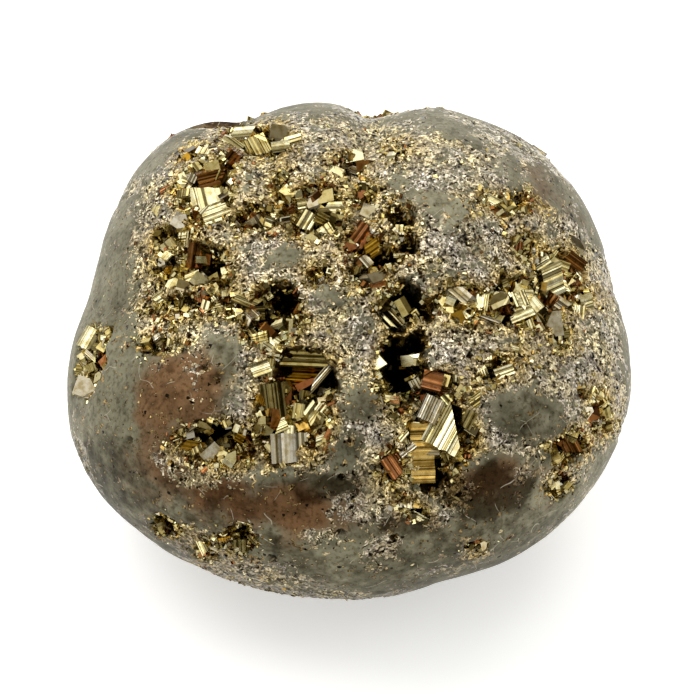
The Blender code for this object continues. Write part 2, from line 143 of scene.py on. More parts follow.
def add_node(
    tree: bpy.types.NodeTree,
    kind: str,
    settings: Optional[dict] = None,
    inputs: Optional[dict] = None,
    stops: Stops = (),
) -> bpy.types.Node:
    """Adds a node with its settings and links.

    Args:
        tree: The node tree that gets the node.
        kind: The node's type name without its ShaderNode start.
        settings: Properties to set, by name.
        inputs: Sockets by name or number, each with its source.
        stops: A colour ramp's places and hex colours.

    Returns:
        The new node.
    """
    node = tree.nodes.new("ShaderNode" + kind)
    for name, value in (settings or {}).items():
        setattr(node, name, value)
    for name, value in (inputs or {}).items():
        connect(tree, value, node.inputs[name])
    if stops:
        marks = node.color_ramp.elements
        while len(marks) < len(stops):
            marks.new(0.5)
        for mark, (place, colour) in zip(marks, stops):
            mark.position = place
            mark.color = linear(colour)
    return node


def lay_colours(
    tree: bpy.types.NodeTree, shade: Source, value: Source, stops: Stops, strength: float = 1.0
) -> bpy.types.Node:
    """Multiplies a shade by the colours that a ramp gives for a value.

    Args:
        tree: The node tree.
        shade: The shade underneath.
        value: What the ramp reads, from 0 to 1.
        stops: The ramp's places and hex colours.
        strength: How much the ramp counts.

    Returns:
        The new shade.
    """
    colour = add_node(tree, "ValToRGB", inputs={"Fac": value}, stops=stops)
    return add_node(tree, "Mix", MULTIPLIED, {0: strength, 6: shade, 7: colour})


def bend(tree: bpy.types.NodeTree, place: Source, size: float, reach: float) -> bpy.types.Node:
    """Bends places with swirls.

    Args:
        tree: The node tree.
        place: The places.
        size: The swirls' size in millimetres.
        reach: Twice the furthest that a place is moved, in millimetres.

    Returns:
        The bent places.
    """
    swirls = add_node(tree, "TexNoise", inputs={"Vector": place, "Scale": 1.0 / (size * MM), "Detail": 1.0})
    away = add_node(tree, "VectorMath", {"operation": "SUBTRACT"}, {0: swirls.outputs["Color"], 1: HALVES})
    away = add_node(tree, "VectorMath", {"operation": "SCALE"}, {0: away, "Scale": reach * MM})
    return add_node(tree, "VectorMath", {"operation": "ADD"}, {0: place, 1: away})


@dataclass(frozen=True)
class Clouds:
    """Soft clouds that tint a shade: their size in millimetres, how fine they are, and their colours."""

    size: float
    detail: float
    stops: Stops

    def lay(self, tree: bpy.types.NodeTree, shade: Source, place: Source) -> bpy.types.Node:
        """Multiplies a shade by the clouds' colours.

        Args:
            tree: The node tree.
            shade: The shade underneath.
            place: The places where the clouds are read.

        Returns:
            The new shade.
        """
        size = 1.0 / (self.size * MM)
        cloud = add_node(tree, "TexNoise", inputs={"Vector": place, "Scale": size, "Detail": self.detail})
        return lay_colours(tree, shade, cloud, self.stops)


@dataclass(frozen=True)
class Spots:
    """Soft-edged spots: their size in millimetres, how fine they are, and the noise at their edge."""

    size: float
    detail: float
    start: float
    end: float

    def add(self, tree: bpy.types.NodeTree, place: Source) -> bpy.types.Node:
        """Adds the nodes that draw the spots.

        Args:
            tree: The node tree.
            place: The places where the spots are read.

        Returns:
            1 in the spots and 0 between them.
        """
        size = 1.0 / (self.size * MM)
        spot = add_node(tree, "TexNoise", inputs={"Vector": place, "Scale": size, "Detail": self.detail})
        edge = {"Value": spot, "From Min": self.start, "From Max": self.end}
        return add_node(tree, "MapRange", inputs=edge)


@dataclass(frozen=True)
class Patch:
    """An oval area on the near side: centre, half width, half height and its turn in degrees."""

    x: float
    y: float
    half_width: float
    half_height: float
    turn: float = 0.0


@dataclass(frozen=True)
class Pit(Patch):
    """An open pit in the near side, with its depth."""

    depth: float = 1.0


class Tint(Enum):
    """The colours that a crystal of this stone can have."""

    CREAM = "F4ECC2"
    BRASS = "DCD0A0"
    SILVER = "D0C8B4"
    STRAW = "CCBC80"
    # The olive tint is the brass darkened as painted shade for faces turned from the light, and the brown one
    # is tarnish darkened as painted shade too. In the crust both serve as random darker tones.
    OLIVE_SHADED = "9C9060"
    BROWN = "8A6034"
    COPPER = "AA734A"
    AMBER = "A8842E"
    GOLD = "D8B86E"


class Habit(Enum):
    """The shapes that a larger crystal can have, in the order in which they are modelled."""

    BLOCK = 0
    SLANTED = 1
    CUT = 2
    TWICE_CUT = 3
    PLAIN = 4
    FACETED = 5
    POINTED = 6


@dataclass(frozen=True)
class Crystal:
    """A crystal with its centre as seen, its three sides, and how it is turned, in degrees.

    Its growth lines run along its width. turn is about the line of sight. pitch leans its face down
    and yaw leans it to the right. lift raises it, in millimetres.
    """

    x: float
    y: float
    width: float
    height: float
    length: float
    turn: float = 0.0
    pitch: float = 0.0
    yaw: float = 0.0
    tint: Tint = Tint.BRASS
    lift: float = 0.0
    habit: Habit = Habit.BLOCK


@dataclass(frozen=True)
class StoneForm:
    """The form that the stone's solid has, repeated from it, in millimetres from its middle."""

    half_width: float = 20.0
    half_depth: float = 19.2
    half_height: float = 14.0
    base_cut: float = 0.55
    view_tilt: float = math.radians(55.0)
    golden_angle: float = math.radians(137.5)
    lowest: float = 0.72
    outline: tuple = (
        (19.9, 0.0), (19.1, 3.4), (16.7, 9.6), (12.4, 14.9), (9.5, 16.4), (5.7, 17.4), (3.0, 17.0),
        (1.3, 16.7), (0.0, 17.3), (-3.1, 17.7), (-6.1, 17.0), (-8.1, 16.3), (-9.4, 16.4), (-12.8, 15.3),
        (-15.3, 12.9), (-16.9, 9.9), (-18.9, 3.4), (-19.9, 0.1), (-20.1, -3.5), (-19.5, -7.1),
        (-17.7, -10.2), (-15.1, -12.7), (-9.3, -16.1), (-3.1, -17.6), (3.1, -17.4), (6.1, -16.5),
        (12.1, -14.4), (17.1, -9.9), (19.9, -3.5),
    )
    swells: tuple = (
        (-12.5, -6.5, 5.0, 0.50), (-9.5, 12.5, 3.0, 0.40), (-3.0, 14.5, 2.6, 0.30), (8.5, 12.0, 3.6, 0.45),
        (-7.3, 14.6, 1.2, -0.60), (1.6, 14.8, 1.4, -0.70), (12.5, -4.0, 3.4, 0.45), (-1.0, 3.5, 2.6, 0.35),
        (6.0, -12.5, 4.0, 0.30), (0.5, -4.5, 2.0, 0.45), (16.0, 2.0, 3.0, -0.30), (4.5, -7.5, 1.8, -0.60),
        (-3.6, -2.4, 2.2, -0.60), (-9.9, -5.8, 1.8, -0.50), (-10.5, 8.6, 2.4, -0.45), (3.6, 1.0, 2.4, -0.70),
    )
    far_swells: tuple = ((4.0, 0.50), (3.0, -0.55), (5.0, 0.35), (3.4, 0.40), (2.6, -0.50), (4.4, 0.30))
    far_pits: tuple = (1.9, 1.1, 1.6, 0.9, 2.1, 1.3, 1.0, 1.7, 1.2, 0.9, 1.8, 1.1, 1.5, 1.0)
    pits: tuple = (
        Pit(-6.3, 15.6, 0.6, 1.0, 0, 1.5), Pit(-10.4, 11.8, 2.1, 1.4, 20, 1.9),
        Pit(-13.2, 8.4, 1.1, 0.7, 0, 1.4), Pit(-10.7, 6.3, 2.1, 1.2, 20, 2.1),
        Pit(-5.1, 3.4, 1.7, 1.6, 0, 2.5), Pit(0.2, 13.6, 1.0, 0.7, 0, 1.3),
        Pit(3.3, 14.3, 0.7, 0.7, 0, 1.1), Pit(3.6, 9.4, 1.2, 1.0, -30, 1.9),
        Pit(2.5, 6.7, 1.4, 0.9, 0, 1.9), Pit(3.7, -1.6, 1.8, 2.7, 8, 4.6),
        Pit(3.2, 3.0, 1.0, 1.6, -20, 2.8), Pit(-3.4, -2.5, 2.7, 2.2, 0, 2.7),
        Pit(-9.9, -6.3, 1.9, 1.2, 0, 2.3), Pit(5.9, -9.3, 1.0, 1.0, 0, 2.3),
        Pit(10.4, -1.4, 1.0, 0.6, 35, 1.5), Pit(17.4, -5.2, 0.7, 1.0, 0, 1.5),
        Pit(14.8, -6.9, 0.9, 0.7, 0, 1.4), Pit(-12.8, -11.9, 0.8, 0.6, -25, 1.3),
        Pit(-7.9, -12.9, 0.8, 0.7, 0, 1.6), Pit(-18.1, -0.7, 0.9, 2.7, -12, 1.2),
        Pit(-2.1, 8.9, 0.9, 0.7, 0, 1.5), Pit(11.8, 2.1, 1.4, 0.7, 0, 1.3),
        Pit(12.0, 10.9, 0.7, 0.6, 0, 1.0), Pit(14.7, -9.5, 0.8, 0.6, 0, 1.1),
        Pit(6.4, -3.0, 1.0, 0.8, 20, 2.2), Pit(16.4, -3.0, 0.6, 0.5, 0, 1.1),
        Pit(8.6, -13.6, 0.7, 0.5, 0, 1.0),
    )

    @property
    def right(self) -> Array:
        """The level direction to the camera's right."""
        return np.array((1.0, 0.0, 0.0))

    @property
    def up(self) -> Array:
        """The camera's upward direction."""
        return np.array((0.0, math.sin(self.view_tilt), math.cos(self.view_tilt)))

    @property
    def towards(self) -> Array:
        """The direction towards the camera."""
        return np.array((0.0, -math.cos(self.view_tilt), math.sin(self.view_tilt)))

    @property
    def middle(self) -> Array:
        """The stone's middle in metres."""
        return np.array((0.0, 0.0, (self.half_height - self.base_cut) * MM))

    def outline_radius(self, angles: Array) -> Array:
        """How far the outline lies from the middle, on a smooth closed curve through its points.

        Args:
            angles: Angles in the view plane, anticlockwise from the right.

        Returns:
            The radius at each angle.
        """
        corners = np.array(self.outline)
        at = np.arctan2(corners[:, 1], corners[:, 0]) % math.tau
        order = np.argsort(at)
        at, reach = at[order], np.hypot(corners[:, 0], corners[:, 1])[order]
        at = np.concatenate((at[-2:] - math.tau, at, at[:3] + math.tau))
        reach = np.concatenate((reach[-2:], reach, reach[:3]))
        slopes = np.gradient(reach, at)
        angles = angles % math.tau
        i = np.clip(np.searchsorted(at, angles, side="right") - 1, 0, len(at) - 2)
        gap = at[i + 1] - at[i]
        t = (angles - at[i]) / gap
        return (
            (2 * t**3 - 3 * t**2 + 1) * reach[i]
            + (t**3 - 2 * t**2 + t) * gap * slopes[i]
            + (3 * t**2 - 2 * t**3) * reach[i + 1]
            + (t**3 - t**2) * gap * slopes[i + 1]
        )

    def edge_share(self, directions: Array, low: float, high: float) -> Array:
        """0 where the stone faces the camera or faces away, 1 along its outline."""
        return smoothstep(low, high, np.hypot(directions @ self.right, directions @ self.up))

    def pebble_radius(self, directions: Array) -> Array:
        """How far the rounded pebble's surface lies from its middle.

        Args:
            directions: Unit directions from the middle, one a row.

        Returns:
            The radius along each.
        """
        halves = np.array((self.half_width, self.half_depth, self.half_height))
        tilt = self.view_tilt
        seen = math.hypot(self.half_depth * math.sin(tilt), self.half_height * math.cos(tilt))
        oval = 1.0 / np.sqrt(((directions / halves) ** 2).sum(axis=1))
        angle = np.arctan2(directions @ self.up, directions @ self.right)
        oval_seen = 1.0 / np.sqrt((np.cos(angle) / self.half_width) ** 2 + (np.sin(angle) / seen) ** 2)
        stretch = self.outline_radius(angle) / oval_seen - 1.0
        return oval * (1.0 + stretch * self.edge_share(directions, 0.35, 0.85))

    def near_points(self, x: Array, y: Array) -> Array:
        """The pebble's points that are seen at given places on the near side.

        Args:
            x: The places to the right of the middle, as seen.
            y: The places above it.

        Returns:
            The points, one a row.
        """
        flat = np.outer(x, self.right) + np.outer(y, self.up)
        low, high = np.zeros(len(x)), np.full(len(x), 1.5 * self.half_width)
        for _ in range(30):
            depth = (low + high) / 2
            points = flat + depth[:, None] * self.towards
            reach = lengths(points)
            outside = reach > self.pebble_radius(points / reach[:, None])
            low, high = np.where(outside, low, depth), np.where(outside, depth, high)
        return flat + low[:, None] * self.towards

    def far_directions(self, count: int, turn: float) -> Array:
        """Spreads directions evenly over the half of the stone that faces away.

        Args:
            count: How many there are.
            turn: The angle of the first.

        Returns:
            The unit directions, one a row.
        """
        depth = -0.12 - 0.8 * np.arange(count) / (count - 1)
        angle = turn + np.arange(count) * self.golden_angle
        reach = np.sqrt(1.0 - depth * depth)
        return (
            (reach * np.cos(angle))[:, None] * self.right
            + (reach * np.sin(angle))[:, None] * self.up
            + depth[:, None] * self.towards
        )

    def level_radius(self, directions: Array) -> Array:
        """How far the pebble's surface lies from its middle with its broad swells and dents.

        Args:
            directions: Unit directions from the middle, one a row.

        Returns:
            The radius along each.
        """
        pebble = self.pebble_radius(directions)
        points = directions * pebble[:, None]
        near = self.near_points(*np.array([(x, y) for x, y, _, _ in self.swells]).T)
        far = self.far_directions(len(self.far_swells), 0.6)
        far = far * self.pebble_radius(far)[:, None]
        shapes = [(spread, height) for _, _, spread, height in self.swells] + list(self.far_swells)
        swell = np.zeros(len(points))
        for middle, (spread, height) in zip(np.concatenate((near, far)), shapes):
            gap = lengths(points - middle)
            swell += height * np.exp(-0.5 * (gap / spread) ** 2)
        return pebble + swell * (1.0 - smoothstep(0.6, 0.9, -directions[:, 2]))

    @staticmethod
    def surface_frame(point: Array) -> Array:
        """A frame that stands on the pebble.

        Args:
            point: Where it stands.

        Returns:
            A turn matrix whose third column looks out of the pebble.
        """
        out = point / np.linalg.norm(point)
        level = np.array((1.0, 0.0, 0.0)) - out * out[0]
        level /= np.linalg.norm(level)
        return np.stack((level, np.cross(out, level), out), axis=1)

    def pit_places(self, more: Sequence[Pit]) -> list[tuple[Array, float, float, float, float]]:
        """Where the pits are.

        Args:
            more: Small pits on the near side that the solid leaves out.

        Returns:
            Each pit's point on the pebble, half width, half height, depth and turn in degrees.
        """
        seen = self.pits + tuple(more)
        near = self.near_points(*np.array([(p.x, p.y) for p in seen]).T)
        places = [(at, p.half_width, p.half_height, p.depth, p.turn) for at, p in zip(near, seen)]
        directions = self.far_directions(len(self.far_pits), 2.1)
        far = directions * self.pebble_radius(directions)[:, None]
        for i, (point, width) in enumerate(zip(far, self.far_pits)):
            if point[2] >= -self.lowest * self.half_height:
                places.append((point, width, 0.75 * width, 1.05 * width, 50.0 * i))
        return places


@dataclass
class Surface:
    """What the skin is like at a set of directions: radii and depths in millimetres."""

    radius: Array
    level: Array
    polish: Array
    inside_vug: Array
    hollow: Array


@dataclass(frozen=True)
class SkinRelief:
    """The relief of the skin on top of the stone's form, in millimetres."""

    form: StoneForm
    broken_sunk: float = 0.14
    open_sunk: float = 1.15
    facet_size: float = 0.90
    facet_height: float = 0.42
    grain_size: float = 0.40
    grain_height: float = 0.11
    # Layers of swirls, each with its height and width in millimetres and its shift.
    vug_wander: tuple = ((0.34, 1.1, 21.0), (0.16, 0.4, 25.0))
    polish_wander: tuple = ((0.35, 1.6, 3.1), (0.15, 0.5, 8.3))
    waves: tuple = ((0.05, 1.8, 71.0), (0.02, 0.6, 73.0))
    windows: tuple = (
        Patch(-18.0, 1.4, 2.5, 7.9, -8), Patch(-14.8, -4.6, 5.2, 5.0), Patch(-12.0, -3.2, 3.0, 3.0),
        Patch(-9.2, -1.0, 1.5, 2.2), Patch(-12.9, -10.0, 6.4, 3.9, -35), Patch(-4.6, -11.8, 6.2, 3.2),
        Patch(5.7, -14.2, 9.3, 2.8, 8), Patch(12.1, -10.9, 5.4, 2.8, 30), Patch(10.0, -8.8, 2.6, 1.6, 8),
        Patch(12.3, -4.4, 2.8, 1.7, -12), Patch(0.7, -3.8, 1.4, 1.5), Patch(-0.4, -7.3, 0.9, 2.2, -29),
        Patch(-1.7, -9.4, 2.4, 0.9, -5), Patch(-4.6, 6.6, 1.1, 0.9), Patch(6.2, 10.1, 2.1, 0.9, -20),
        Patch(7.0, 9.1, 0.7, 0.7), Patch(7.1, 15.9, 2.7, 0.9, -25), Patch(11.3, 12.6, 0.7, 1.5, 10),
        Patch(14.0, 11.3, 2.6, 1.0, -50), Patch(17.0, 8.9, 0.9, 3.0, 32), Patch(19.8, 1.0, 0.5, 5.5, 3),
        Patch(-3.6, 17.2, 4.3, 0.6), Patch(4.1, 16.8, 2.2, 0.5, -5), Patch(-13.4, 14.3, 4.4, 0.8, 40),
        Patch(-17.0, 7.4, 1.4, 3.6, -22), Patch(-1.5, 3.7, 0.7, 0.5), Patch(3.8, 11.7, 0.7, 0.4),
        Patch(17.6, -8.4, 2.4, 0.9, 48), Patch(7.6, -11.8, 0.6, 0.5),
    )
    broken: tuple = (
        Patch(-10.2, -7.4, 3.3, 2.4), Patch(1.6, -10.7, 3.1, 1.5), Patch(6.2, -10.6, 2.6, 1.6, 20),
        Patch(-11.4, 2.1, 4.2, 1.1, -4), Patch(-10.8, -1.9, 0.4, 1.6, 8),
        Patch(-10.6, -13.4, 3.6, 1.2, -25), Patch(-6.2, -16.2, 3.8, 0.7, -10),
        Patch(2.2, -14.0, 1.7, 1.2, 25), Patch(-1.9, -13.1, 1.3, 0.8), Patch(8.6, -13.9, 1.3, 0.8),
        Patch(15.0, -9.0, 1.7, 1.1), Patch(-19.0, -6.9, 0.5, 1.6, 20), Patch(6.6, -15.3, 1.2, 0.4, 10),
        Patch(-13.2, -1.0, 0.4, 0.3), Patch(12.0, -8.8, 0.6, 0.6),
    )
    vugs: tuple = (
        Patch(-10.4, 11.2, 2.1, 2.1), Patch(-12.8, 8.1, 1.4, 0.7, 15), Patch(-11.3, 6.1, 2.6, 1.6),
        Patch(-9.3, 4.9, 1.0, 0.7), Patch(-11.2, 3.3, 2.5, 0.8, 5), Patch(-5.6, 2.2, 2.2, 2.1),
        Patch(-7.9, 3.0, 1.3, 0.9), Patch(-6.5, 9.4, 1.5, 0.9), Patch(-2.7, 9.8, 2.3, 1.9, 10),
        Patch(-4.8, 11.5, 0.5, 1.0), Patch(0.9, 7.5, 1.5, 1.1), Patch(2.5, 6.6, 1.2, 0.7),
        Patch(3.4, 9.2, 0.8, 1.1, 25), Patch(-5.9, 14.8, 1.8, 1.2), Patch(-8.0, 15.2, 1.1, 0.6, -15),
        Patch(-8.6, 13.4, 0.9, 0.9), Patch(-10.8, 14.0, 1.2, 0.6, 10), Patch(0.0, 13.2, 1.1, 0.8, 15),
        Patch(3.5, 14.2, 0.7, 0.5), Patch(1.1, 11.0, 0.8, 0.8), Patch(-2.3, 5.2, 0.7, 0.6),
        Patch(1.2, 5.4, 1.2, 0.9), Patch(3.4, 2.9, 1.1, 1.7, 25), Patch(3.5, -1.8, 1.6, 2.6),
        Patch(6.3, -2.9, 1.5, 1.3), Patch(6.4, -6.2, 2.3, 2.5, -20), Patch(-3.6, -1.0, 2.2, 1.2),
        Patch(-4.9, -4.9, 1.8, 3.0), Patch(-2.6, -4.5, 1.2, 2.6), Patch(8.8, 3.2, 2.6, 1.2, -8),
        Patch(12.9, 3.3, 2.8, 1.9, -10), Patch(14.9, 5.2, 1.9, 1.9), Patch(12.5, 7.4, 0.9, 0.9),
        Patch(11.2, 10.2, 1.8, 0.7), Patch(16.4, 3.6, 1.1, 0.8), Patch(10.4, -1.3, 1.4, 0.7, 30),
        Patch(15.5, -6.9, 1.5, 1.1, 20), Patch(17.8, -4.5, 0.8, 1.6), Patch(14.7, -9.6, 1.1, 0.8),
        Patch(15.1, 0.9, 0.7, 0.9), Patch(-9.4, -6.5, 2.7, 1.5, -10), Patch(-12.8, -12.3, 1.2, 0.8, -25),
        Patch(-7.7, -13.2, 1.3, 1.0), Patch(-10.1, -14.1, 0.8, 0.6), Patch(-18.4, -0.7, 1.1, 2.7, -12),
        Patch(-13.6, 0.3, 1.2, 0.6), Patch(3.1, -8.3, 0.9, 1.0), Patch(9.1, -13.7, 0.6, 0.5),
        Patch(4.3, -11.2, 0.8, 0.5, -30),
    )
    small_pits: tuple = (
        Pit(-4.8, 11.5, 0.35, 0.9, 0, 1.6), Pit(-4.5, 3.5, 1.0, 0.8, 0, 2.6),
        Pit(-6.8, 2.2, 0.4, 1.0, 0, 2.0), Pit(-10.3, -5.6, 0.8, 0.5, 0, 2.2),
        Pit(-11.7, -6.3, 0.4, 0.9, 10, 1.8), Pit(-8.9, -7.3, 0.7, 0.5, 0, 1.8),
        Pit(6.4, -8.7, 0.6, 0.9, 0, 2.4), Pit(11.0, 5.2, 0.4, 0.35, 0, 1.1),
        Pit(10.7, 4.2, 0.4, 0.4, 0, 1.2), Pit(13.8, 3.6, 0.8, 0.35, 0, 1.4),
        Pit(15.9, 4.2, 0.5, 0.35, 0, 1.2), Pit(12.2, 7.9, 0.35, 0.3, 0, 1.0),
        Pit(16.7, -2.8, 0.35, 0.45, 0, 1.3), Pit(17.3, -5.5, 0.4, 0.7, 0, 1.4),
        Pit(14.5, -7.1, 0.4, 0.8, 0, 1.4), Pit(-10.1, -14.2, 0.5, 0.4, 0, 1.1),
        Pit(3.1, -13.0, 0.35, 0.4, 0, 1.1), Pit(-12.7, 0.1, 0.4, 0.3, 0, 0.9),
        Pit(-15.1, -6.2, 0.35, 0.25, 0, 0.8), Pit(-10.2, -1.4, 0.3, 0.3, 0, 0.8),
        Pit(-13.4, 4.8, 0.45, 0.4, 0, 1.6), Pit(-9.4, 5.4, 0.6, 0.45, 0, 1.8),
        Pit(9.8, -1.7, 0.6, 0.4, 30, 1.7), Pit(10.9, -0.8, 0.5, 0.3, 20, 1.5),
        Pit(-3.1, -3.2, 0.7, 0.9, 0, 3.2), Pit(3.6, 2.9, 0.9, 1.5, 40, 3.0),
        Pit(-5.4, -14.6, 0.4, 0.4, 0, 0.9), Pit(-0.6, -12.8, 0.4, 0.3, 0, 0.8),
        Pit(-12.9, -12.1, 0.8, 0.5, -20, 2.0), Pit(-7.9, -13.0, 0.8, 0.7, 0, 2.2),
        Pit(4.9, 3.6, 0.8, 1.9, 35, 2.4), Pit(4.9, 0.2, 1.0, 1.2, 0, 2.6),
        Pit(5.9, -9.7, 0.9, 0.8, 0, 2.4), Pit(4.2, 7.6, 0.7, 0.9, 20, 1.8),
        Pit(-6.6, 15.7, 0.5, 0.9, 0, 2.8), Pit(-0.6, -8.9, 0.3, 0.3, 0, 0.8),
        Pit(-9.3, -2.2, 0.35, 0.3, 0, 0.9),
    )

    @staticmethod
    def depth_inside(patches: Sequence[Patch], x: Array, y: Array) -> Array:
        """How far inside the nearest of some ovals each place lies.

        Args:
            patches: The ovals.
            x: The places to the right of the middle, as seen.
            y: The places above it.

        Returns:
            The depth inside in millimetres, and less than 0 outside.
        """
        best = np.full(len(x), -9.0)
        for patch in patches:
            turn = math.radians(patch.turn)
            across = (x - patch.x) * math.cos(turn) + (y - patch.y) * math.sin(turn)
            along = (y - patch.y) * math.cos(turn) - (x - patch.x) * math.sin(turn)
            share = 1.0 - np.hypot(across / patch.half_width, along / patch.half_height)
            best = np.maximum(best, share * min(patch.half_width, patch.half_height))
        return best

    def seen_places(self, points: Array) -> tuple[Array, Array, Array]:
        """Where points are seen, and 1 where they face the camera or 0 where they face away."""
        depth = points @ self.form.towards
        return points @ self.form.right, points @ self.form.up, smoothstep(-5.0, -0.5, depth)

    def vug_depth(self, points: Array) -> Array:
        """How far inside an open area each place lies, with a border that wanders.

        Args:
            points: The places, on the pebble.

        Returns:
            The depth inside in millimetres, and less than 0 outside.
        """
        x, y, facing = self.seen_places(points)
        wander = layered(points, self.vug_wander)
        near = self.depth_inside(self.vugs, x, y) + wander
        far = 3.0 * (swirl(points, 3.6, 31.0) - 0.18) + wander
        return near * facing + far * (1.0 - facing)

    @staticmethod
    def open_share(inside_vug: Array) -> Array:
        """1 where the stone is open and holds coarse crystals, 0 elsewhere."""
        return smoothstep(-0.12, 0.22, inside_vug)

    def polish_depth(self, directions: Array, points: Array) -> Array:
        """How far inside the polish each place lies, with a border that wanders.

        Args:
            directions: The places' unit directions.
            points: The places, on the pebble.

        Returns:
            The depth inside in millimetres, and less than 0 where the stone is broken.
        """
        x, y, facing = self.seen_places(points)
        wander = layered(points, self.polish_wander)
        near = self.depth_inside(self.windows, x, y) + wander
        near = np.minimum(near, 0.15 - self.depth_inside(self.broken, x, y) - wander)
        far = 4.0 * (swirl(points, 7.0, 11.7) + 0.10) + wander
        far = np.maximum(far, 6.0 * (-directions[:, 2] - 0.84))
        return near * facing + far * (1.0 - facing)

    def pit_depth(self, points: Array) -> Array:
        """How deep the pits are.

        Args:
            points: Places on the pebble.

        Returns:
            The depth at each, in millimetres.
        """
        wander = swirl(points, 0.8, 41.0)
        depth = np.zeros(len(points))
        for place, half_width, half_height, deep, turn in self.form.pit_places(self.small_pits):
            reach = 1.6 * max(half_width, half_height)
            close = np.flatnonzero(lengths(points - place) < reach)
            local = (points[close] - place) @ self.form.surface_frame(place)
            angle = math.radians(turn)
            across = local[:, 0] * math.cos(angle) + local[:, 1] * math.sin(angle)
            along = local[:, 1] * math.cos(angle) - local[:, 0] * math.sin(angle)
            share = 1.0 - np.hypot(across / half_width, along / half_height) + 0.30 * wander[close]
            depth[close] = np.maximum(depth[close], deep * smoothstep(-0.05, 0.50, share))
        return depth

    @staticmethod
    def facets(points: Array, size: float, tilt: float, shift: float) -> Array:
        """Height of flat facets, each tilted its own way, as broken crystals show.

        Args:
            points: Places in millimetres.
            size: How wide a facet is.
            tilt: How steep facets may be, as a rise over a run.
            shift: Moves the pattern.

        Returns:
            The height, as a share of the size.
        """
        scaled = points / size + shift
        seeds = np.array([tuple(noise.voronoi(p)[1][0]) for p in scaled.tolist()])
        ways = np.array([tuple(noise.cell_vector(p)) for p in (seeds * 37.0).tolist()]) - 0.5
        return ((scaled - seeds) * ways).sum(axis=1) * 2.0 * tilt + ways[:, 0] * 0.6

    def read(self, directions: Array) -> Surface:
        """What the skin is like along unit directions from the stone's middle.

        Args:
            directions: Unit directions, one a row.

        Returns:
            The skin's radius and what it is like there.
        """
        pebble = self.form.pebble_radius(directions)
        points = directions * pebble[:, None]
        level = self.form.level_radius(directions)
        inside_vug = self.vug_depth(points)
        open_share = self.open_share(inside_vug)
        hollow = self.pit_depth(points)
        polish = np.minimum(self.polish_depth(directions, points), 0.5 - 1.2 * open_share - 0.6 * hollow)
        worn = smoothstep(-0.30, 0.10, polish)
        edge = self.form.edge_share(directions, 0.86, 1.0)
        sunk = (1.0 - worn) * self.broken_sunk + open_share * self.open_sunk * (1.0 - 0.65 * edge)
        broad = self.facet_height * self.facets(points, self.facet_size, 0.8, 5.0) * open_share
        grain = self.grain_height * self.facets(points, self.grain_size, 1.0, 9.0) * (1.0 - worn)
        wave = layered(points, self.waves)
        radius = level - sunk + broad + grain + wave - hollow
        return Surface(np.minimum(radius, level + 0.08), level, polish, inside_vug, hollow)


def start_fresh() -> None:
    """Leaves edit mode and deselects every object."""
    if bpy.context.object and bpy.context.object.mode != "OBJECT":
        bpy.ops.object.mode_set(mode="OBJECT")
    bpy.ops.object.select_all(action="DESELECT")


def points_of(mesh: bpy.types.Mesh) -> Array:
    """Reads a mesh's vertices.

    Args:
        mesh: The mesh.

    Returns:
        The vertices, one a row.
    """
    flat = np.empty(len(mesh.vertices) * 3)
    mesh.vertices.foreach_get("co", flat)
    return flat.reshape(-1, 3)


def corners_of(mesh: bpy.types.Mesh) -> Array:
    """Reads which vertices the triangles of a mesh have.

    Args:
        mesh: The mesh, which has triangles only.

    Returns:
        Three vertex numbers for each triangle.
    """
    corners = np.empty(len(mesh.loops), dtype=np.int32)
    mesh.loops.foreach_get("vertex_index", corners)
    return corners.reshape(-1, 3)


def select_faces(mesh: bpy.types.Mesh, chosen: Array) -> None:
    """Selects some faces of the active object and nothing else, in edit mode.

    Args:
        mesh: The object's mesh.
        chosen: True for each face that is selected.
    """
    for part in (mesh.vertices, mesh.edges):
        part.foreach_set("select", np.zeros(len(part), bool))
    mesh.polygons.foreach_set("select", chosen)
    bpy.context.tool_settings.mesh_select_mode = (False, False, True)
    bpy.ops.object.mode_set(mode="EDIT")


def set_point_value(mesh: bpy.types.Mesh, name: str, values: Array) -> None:
    """Stores one number for each vertex under a name that shaders can read."""
    layer = mesh.attributes.new(name, "FLOAT", "POINT")
    layer.data.foreach_set("value", np.asarray(values, dtype=np.float32))


